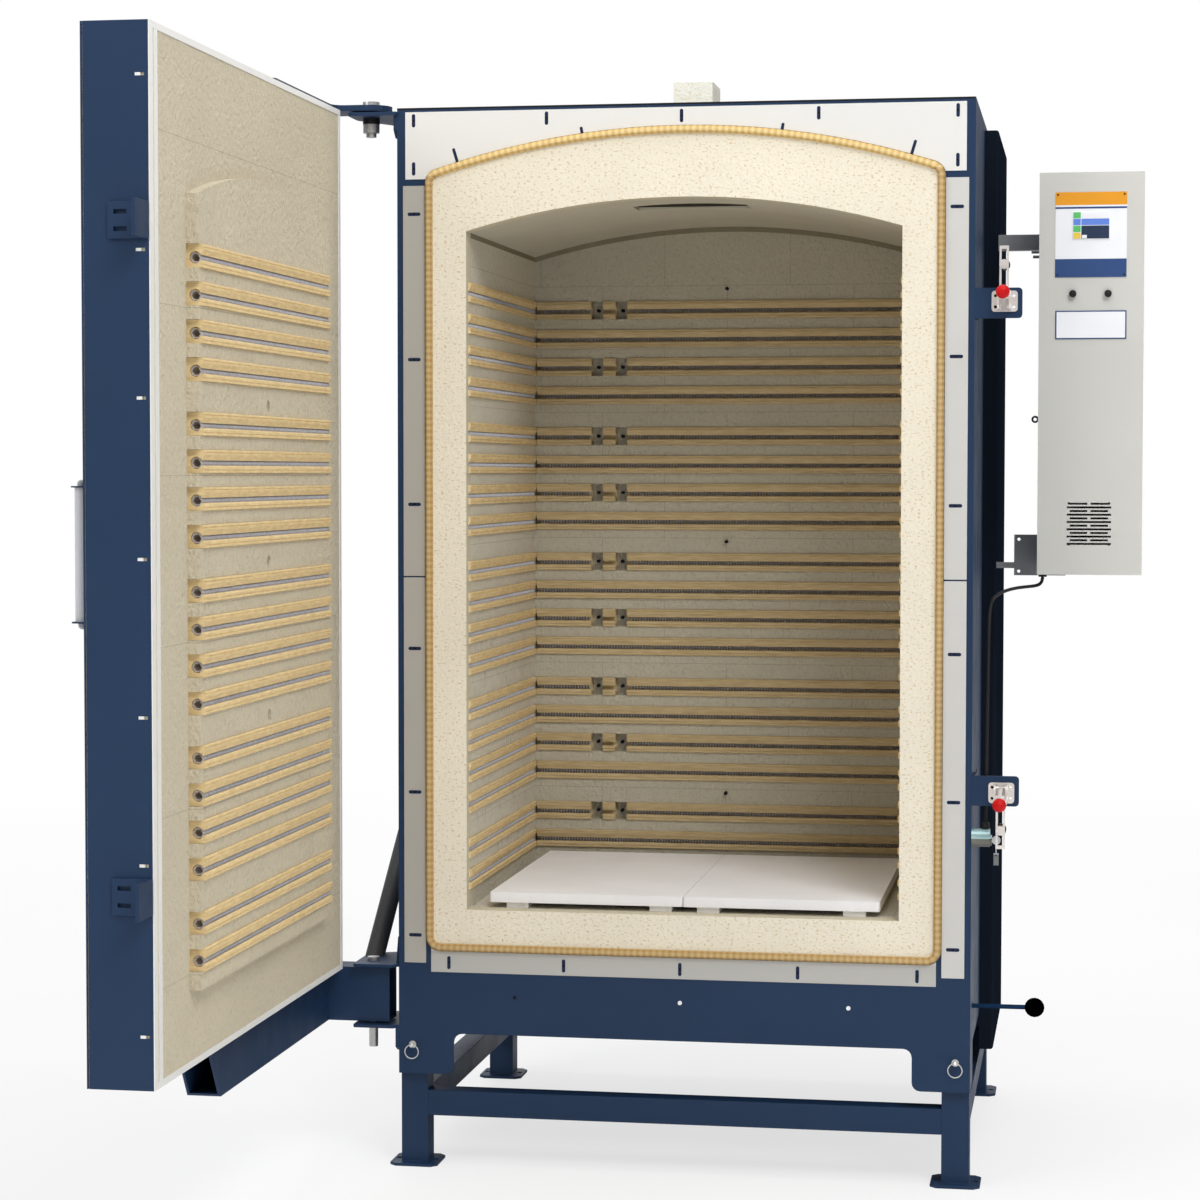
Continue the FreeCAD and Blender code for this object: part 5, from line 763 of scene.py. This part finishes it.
def seal_line(inset, step):
    """Points round the mouth, evenly spaced, counter-clockwise from the middle of the bottom."""
    rise = SEAL_CROWN - SEAL_SHOULDER
    arch = (SEAL_HALF ** 2 + rise ** 2) / (2 * rise)
    centre_z = SEAL_CROWN - arch
    radius = arch - inset
    half = SEAL_HALF - inset
    low = SEAL_BOTTOM + inset
    corner = SEAL_CORNER - inset
    knee_x = half - corner
    knee_z = centre_z + math.sqrt((radius - corner) ** 2 - knee_x ** 2)
    knee_angle = math.atan2(knee_z - centre_z, knee_x)
    right = [(0.0, low)]
    for k in range(13):
        t = -math.pi / 2 + math.pi / 2 * k / 12
        right.append((half - corner + corner * math.cos(t), low + corner + corner * math.sin(t)))
    for k in range(13):
        t = knee_angle * k / 12
        right.append((knee_x + corner * math.cos(t), knee_z + corner * math.sin(t)))
    for k in range(1, 41):
        t = knee_angle + (math.pi / 2 - knee_angle) * k / 40
        right.append((radius * math.cos(t), centre_z + radius * math.sin(t)))
    loop = right + [(-x, z) for x, z in reversed(right[1:-1])]
    lengths = [0.0]
    for (x0, z0), (x1, z1) in zip(loop, loop[1:] + loop[:1]):
        lengths.append(lengths[-1] + math.hypot(x1 - x0, z1 - z0))
    count = int(lengths[-1] / step)
    points = []
    segment = 0
    for i in range(count):
        s = lengths[-1] * i / count
        while lengths[segment + 1] < s:
            segment += 1
        f = (s - lengths[segment]) / (lengths[segment + 1] - lengths[segment])
        x0, z0 = loop[segment]
        x1, z1 = loop[(segment + 1) % len(loop)]
        points.append((x0 + (x1 - x0) * f, z0 + (z1 - z0) * f))
    return points, lengths[-1]


def make_seal():
    line, length = seal_line(SEAL_WIDTH / 2, 2.2)
    count = len(line)
    sides = 14
    verts = []
    values = []
    repeats = round(length / 21.0)
    for i, (x, z) in enumerate(line):
        x0, z0 = line[i - 1]
        x1, z1 = line[(i + 1) % count]
        size = math.hypot(x1 - x0, z1 - z0)
        nx, nz = (z1 - z0) / size, -(x1 - x0) / size
        phase = 2 * math.pi * repeats * i / count
        for k in range(sides):
            t = math.pi * (k / (sides - 1))
            strand = math.cos(phase + 2 * t) * math.cos(phase - 2 * t)
            lump = 0.5 + 0.5 * strand
            scale = 0.93 + 0.07 * lump
            across = math.cos(t)
            across = math.copysign(abs(across) ** 0.75, across) * SEAL_WIDTH / 2 * scale
            proud = (math.sin(t) ** 0.7) * SEAL_PROUD * scale
            if k in (0, sides - 1):
                proud = 0.05
            verts.append(at(x + nx * across, -proud, z + nz * across))
            values.append(lump)
    faces = []
    for i in range(count):
        a = i * sides
        b = ((i + 1) % count) * sides
        for k in range(sides):
            m = (k + 1) % sides
            faces.append((a + k, a + m, b + m, b + k))
    rope = piece("seal_rope", verts, faces, rope_mat, "kiln", smooth=True, replaces=["door_gasket"])
    # The lump values, stored as braid, colour the rope: painted shade in the hollows between strands.
    layer = rope.data.attributes.new("braid", "FLOAT", "POINT")
    layer.data.foreach_set("value", values)


make_seal()

# Small parts on the control box

PANEL = (591.0, 706.5, 1468.0, 1607.0)
PANEL_FRONT = 199.0
SCREEN = (619.0, 679.0, 1530.0, 1575.0)
SCREEN_FRONT = 197.4
BOX_FRONT = 200.0


def fields(name, mat, front, boxes, slot="panel_film", thickness=0.25, body="kiln"):
    """Flat printed fields, a hair proud of the face behind them."""
    shape = Shape()
    for x0, x1, z0, z1 in boxes:
        shape.block(x0, x1, front - thickness, front - 0.02, z0, z1)
    return shape.make(name, mat, body, slot)


def discs(name, mat, places, axis, radius, height, slot, body="kiln", sides=20):
    shape = Shape()
    for place in places:
        shape.lathe([(0, height * MM), (radius * 0.8 * MM, height * MM), (radius * MM, height * 0.6 * MM), (radius * MM, 0)],
                    at(*place), axis, sides)
    return shape.make(name, mat, body, slot, smooth=True)


def make_panel_print():
    x0, x1, z0, z1 = PANEL
    fields("panel_band_orange", film_orange, PANEL_FRONT, [(x0, x1, z1 - 21, z1)])
    fields("panel_band_blue", film_blue, PANEL_FRONT, [(x0, x1, z0, z0 + 30), (x0, x1, z1 - 27, z1 - 24)])
    sx0, sx1, sz0, sz1 = SCREEN
    column = sx0 + 13
    step = (sz1 - sz0) / 4
    fields("screen_dark", screen_glass, SCREEN_FRONT, [(column + 1, sx1 - 1, sz0 + 1, sz0 + 2 * step - 0.5)])
    fields("screen_white", film_white, SCREEN_FRONT,
           [(column + 1, sx1 - 1, sz1 - step + 0.5, sz1 - 1), (column + 2, column + 10, sz0 + 1.5, sz0 + 7)], thickness=0.35)
    fields("screen_sky", film_sky, SCREEN_FRONT,
           [(column + 1, sx1 - 1, sz0 + 2 * step + 0.5, sz1 - step - 0.5),
            (sx0 + 1, column, sz0 + 2 * step + 0.5, sz1 - step - 0.5)])
    fields("screen_green", film_green, SCREEN_FRONT,
           [(sx0 + 1, column, sz1 - step + 0.5, sz1 - 1), (sx0 + 1, column, sz0 + step + 0.5, sz0 + 2 * step - 0.5)])
    fields("screen_yellow", film_yellow, SCREEN_FRONT, [(sx0 + 1, column, sz0 + 1, sz0 + step - 0.5)])
    corners = [(x, PANEL_FRONT - 0.2, z) for x in (x0 + 4, x1 - 4) for z in (z0 + 4, z1 - 4)]
    discs("panel_screws", black_plastic, corners, (0, -1, 0), 1.7, 0.8, "black_plastic")


def make_blank_plate():
    x0, x1, z0, z1 = 592.0, 707.0, 1367.0, 1413.5
    edge = 2.0
    fields("blank_plate_border", film_blue, BOX_FRONT, [(x0, x1, z0, z1)], thickness=1.2)
    fields("blank_plate", film_white, BOX_FRONT - 1.2, [(x0 + edge, x1 - edge, z0 + edge, z1 - edge)])


def make_box_details():
    screws = [(x, BOX_FRONT, z) for x in (616.5, 681.7) for z in (1030.3, 1097.6)]
    discs("vent_screws", black_plastic, screws, (0, -1, 0), 2.1, 0.9, "black_plastic")
    shape = Shape()
    turns = [2 * math.pi * k / 24 for k in range(24)]
    shape.tube([at(560.0 + 4.4 * math.cos(t), 216.0, 1236.0 + 4.4 * math.sin(t)) for t in turns], 1.7 * MM, 8,
               closed=True)
    shape.make("side_eyelet", rubber, "kiln", "black_rubber", smooth=True)
    caps = [(x, BOX_FRONT - 8.0, 1441.0) for x in (620.0, 677.0)]
    discs("fuse_cap_faces", black_plastic, caps, (0, -1, 0), 3.4, 1.0, "black_plastic")


slot_navy = painted("slot_navy", colour(18, 34, 66), 0.6)
make_panel_print()
make_blank_plate()
make_box_details()

# Screws and slots on the case and the door


def make_case_details():
    discs("apron_screws", film_white, [(0.0, 0.0, 286.0), (274.0, 0.0, 286.0)], (0, -1, 0), 3.6, 1.6, "zinc_steel")
    edge = Shape()
    edge.block(-467.0, 467.0, -0.2, 0.4, 1738.0, 1740.9)
    edge.make("roof_edge", black_edge, "kiln", "dark_paint")
    discs("apron_hole", dark_hole, [(-274.0, 0.0, 286.0)], (0, -1, 0), 3.2, 0.15, "dark_paint")
    discs("side_screws", dark_hole, [(469.0, 136.0, 1400.0), (469.0, 163.0, 655.0)], (1, 0, 0), 5.0, 1.0, "dark_paint")
    marks, patches, leaning = Shape(), Shape(), Shape()
    for x, z, angle in sheet_slots():
        rounded_mark(marks, x, z, angle, 7.9, 2.9, -1.36, -1.22)
    marks.make("sheet_slots", slot_navy, "kiln", "navy_paint")
    spots = [(x, -1.36, z) for x, z, angle in sheet_slots()]
    discs("sheet_slot_screws", dark_hole, spots, (0, -1, 0), 1.9, 0.1, "dark_paint", sides=10)
    for side in (-1, 1):
        rounded_mark(patches, side * 363.0, 1669.1, 90 + side * 16, 9.5, 3.4, -1.36, -1.22)
        rounded_mark(patches, side * 166.0, 1709.8, 90 + side * 8, 9.5, 3.4, -1.36, -1.22)
        rounded_mark(leaning, side * 370.6, 1660.5, 90 - side * 17, 12.0, 2.5, -1.52, -1.37)
        rounded_mark(leaning, side * 162.2, 1696.0, 90 - side * 11, 7.0, 2.5, -1.52, -1.37)
    patches.make("sheet_patches", sheet_white, "kiln", "white_paint")
    leaning.make("leaning_slots", slot_navy, "kiln", "navy_paint")


def rounded_mark(shape, x, z, angle, half, radius, y0, y1):
    """A thin mark with round ends on the front, its long axis at the angle from level."""
    turn = math.radians(angle)
    outline = []
    for k in range(16):
        t = 2 * math.pi * (k + 0.5) / 16
        u = radius * math.cos(t) + math.copysign(half, math.cos(t))
        v = radius * math.sin(t)
        outline.append((x + u * math.cos(turn) - v * math.sin(turn), z + u * math.sin(turn) + v * math.cos(turn)))
    shape.prism(outline, lambda u, v, w: at(u, w, v), y0, y1)


def sheet_slots():
    """The slots of the white sheets, as in the source: centre x, centre z and angle from level."""
    slots = [(x * 441.0, 1720.0, 90) for x in (-1.0, -0.5, 0.0, 0.5, 1.0)]
    for side in (-1, 1):
        slots.append((side * 441.0, 1642.0, 90))
    slots += [(x * 384.0, 341.0, 90) for x in (-1.0, -0.5, 0.0, 0.5, 1.0)]
    for step in range(6):
        z = 385.5 + 1183.0 * step / 5
        slots += [(-440.5, z, 0), (440.5, z, 0)]
    return slots


def make_door_details():
    shape = Shape()
    for z in (1667.5, 1439.0, 1245.0, 1033.0, 824.0, 628.0, 400.0):
        shape.block(-580.4, -572.8, -987.7, -986.1, z - 2.1, z + 2.1)
    shape.make("flange_tabs", white, "door", "white_paint")
    caps = Shape()
    dome = [(0.0, 8.5), (2.0, 8.2), (3.9, 7.2), (5.3, 5.2), (5.9, 3.0), (5.9, 0.0)]
    for z, way in ((1129.0, 1), (944.0, -1)):
        caps.lathe([(r * MM, h * MM) for r, h in dome], at(-686.5, -905.0, z), (0, 0, way), 20)
    caps.make("handle_nut_caps", cap_steel, "door", "zinc_steel", smooth=True)


make_case_details()
make_door_details()

# Materials of the nodes that stay

NODE_MATERIALS = {
    navy: ["case_left_panel", "case_right_panel", "case_back_panel", "case_front_frame", "stand_legs", "stand_rails",
           "hinge_brackets", "door_shell", "latch_keepers", "door_hinge_arms", "rear_cover"],
    dark: ["side_cover", "floor_pan"],
    black_edge: ["case_roof"],
    sheet_white: ["front_trim_panels"],
    white: ["door_trim"],
    face_brick: ["front_brick_ring"],
    side_brick: ["brick_side_walls", "brick_floor"],
    back_brick: ["brick_wall_back"],
    roof_brick: ["brick_roof_arch"],
    door_brick: ["door_bricks"],
    plug_brick: ["vent_plug"],
    sight_mat: ["peephole_plug_upper", "peephole_plug_middle", "peephole_plug_lower"],
    shelf_white: ["shelf_left", "shelf_right", "shelf_posts"],
    pin_mat: ["hinge_pins"],
    steel: ["retaining_pin_left", "retaining_pin_right", "pull_ring_left", "pull_ring_right"],
    clamp_mount_mat: ["clamp_mounts"],
    arm_mat: ["clamp_arm_upper", "clamp_arm_lower"],
    key_mat: ["interlock_key"],
    dark_hole: ["terminal_pins", "thermocouples"],
    grey: ["hinge_strut"],
    arm_grey: ["control_arms"],
    handle_mat: ["door_handle"],
    lock_mat: ["interlock_body"],
    box_grey: ["control_box_shell", "control_box_cover"],
    film_white: ["controller_panel"],
    black_plastic: ["fuse_holders", "cable_glands", "fan_frame", "fan_rotor"],
    lever_mats["upper"]: ["clamp_lever_upper"],
    lever_mats["lower"]: ["clamp_lever_lower"],
    damper_mat: ["damper_rod"],
}


def paint(node, mat):
    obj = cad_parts[node]
    obj.data.materials.clear()
    obj.data.materials.append(mat)


for mat, names in NODE_MATERIALS.items():
    for name in names:
        paint(name, mat)

EDGED = {
    0.0003: ["front_trim_panels", "door_trim", "case_roof"],
    0.0005: ["case_front_frame", "latch_keepers", "controller_panel", "rear_cover"],
    0.0010: ["hinge_brackets", "stand_legs", "stand_rails", "door_hinge_arms", "clamp_mounts", "shelf_posts",
             "shelf_left", "shelf_right", "interlock_body"],
}


def soften(node, width):
    """Small rounded edges that catch the light; the node's own mesh stays."""
    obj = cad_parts[node]
    weld = obj.modifiers.new("weld", "WELD")
    weld.merge_threshold = 0.00002
    bevel = obj.modifiers.new("edges", "BEVEL")
    bevel.width = width
    bevel.segments = 2
    bevel.limit_method = "ANGLE"
    bevel.angle_limit = math.radians(50)
    bevel.use_clamp_overlap = True


for width, names in EDGED.items():
    for name in names:
        soften(name, width)
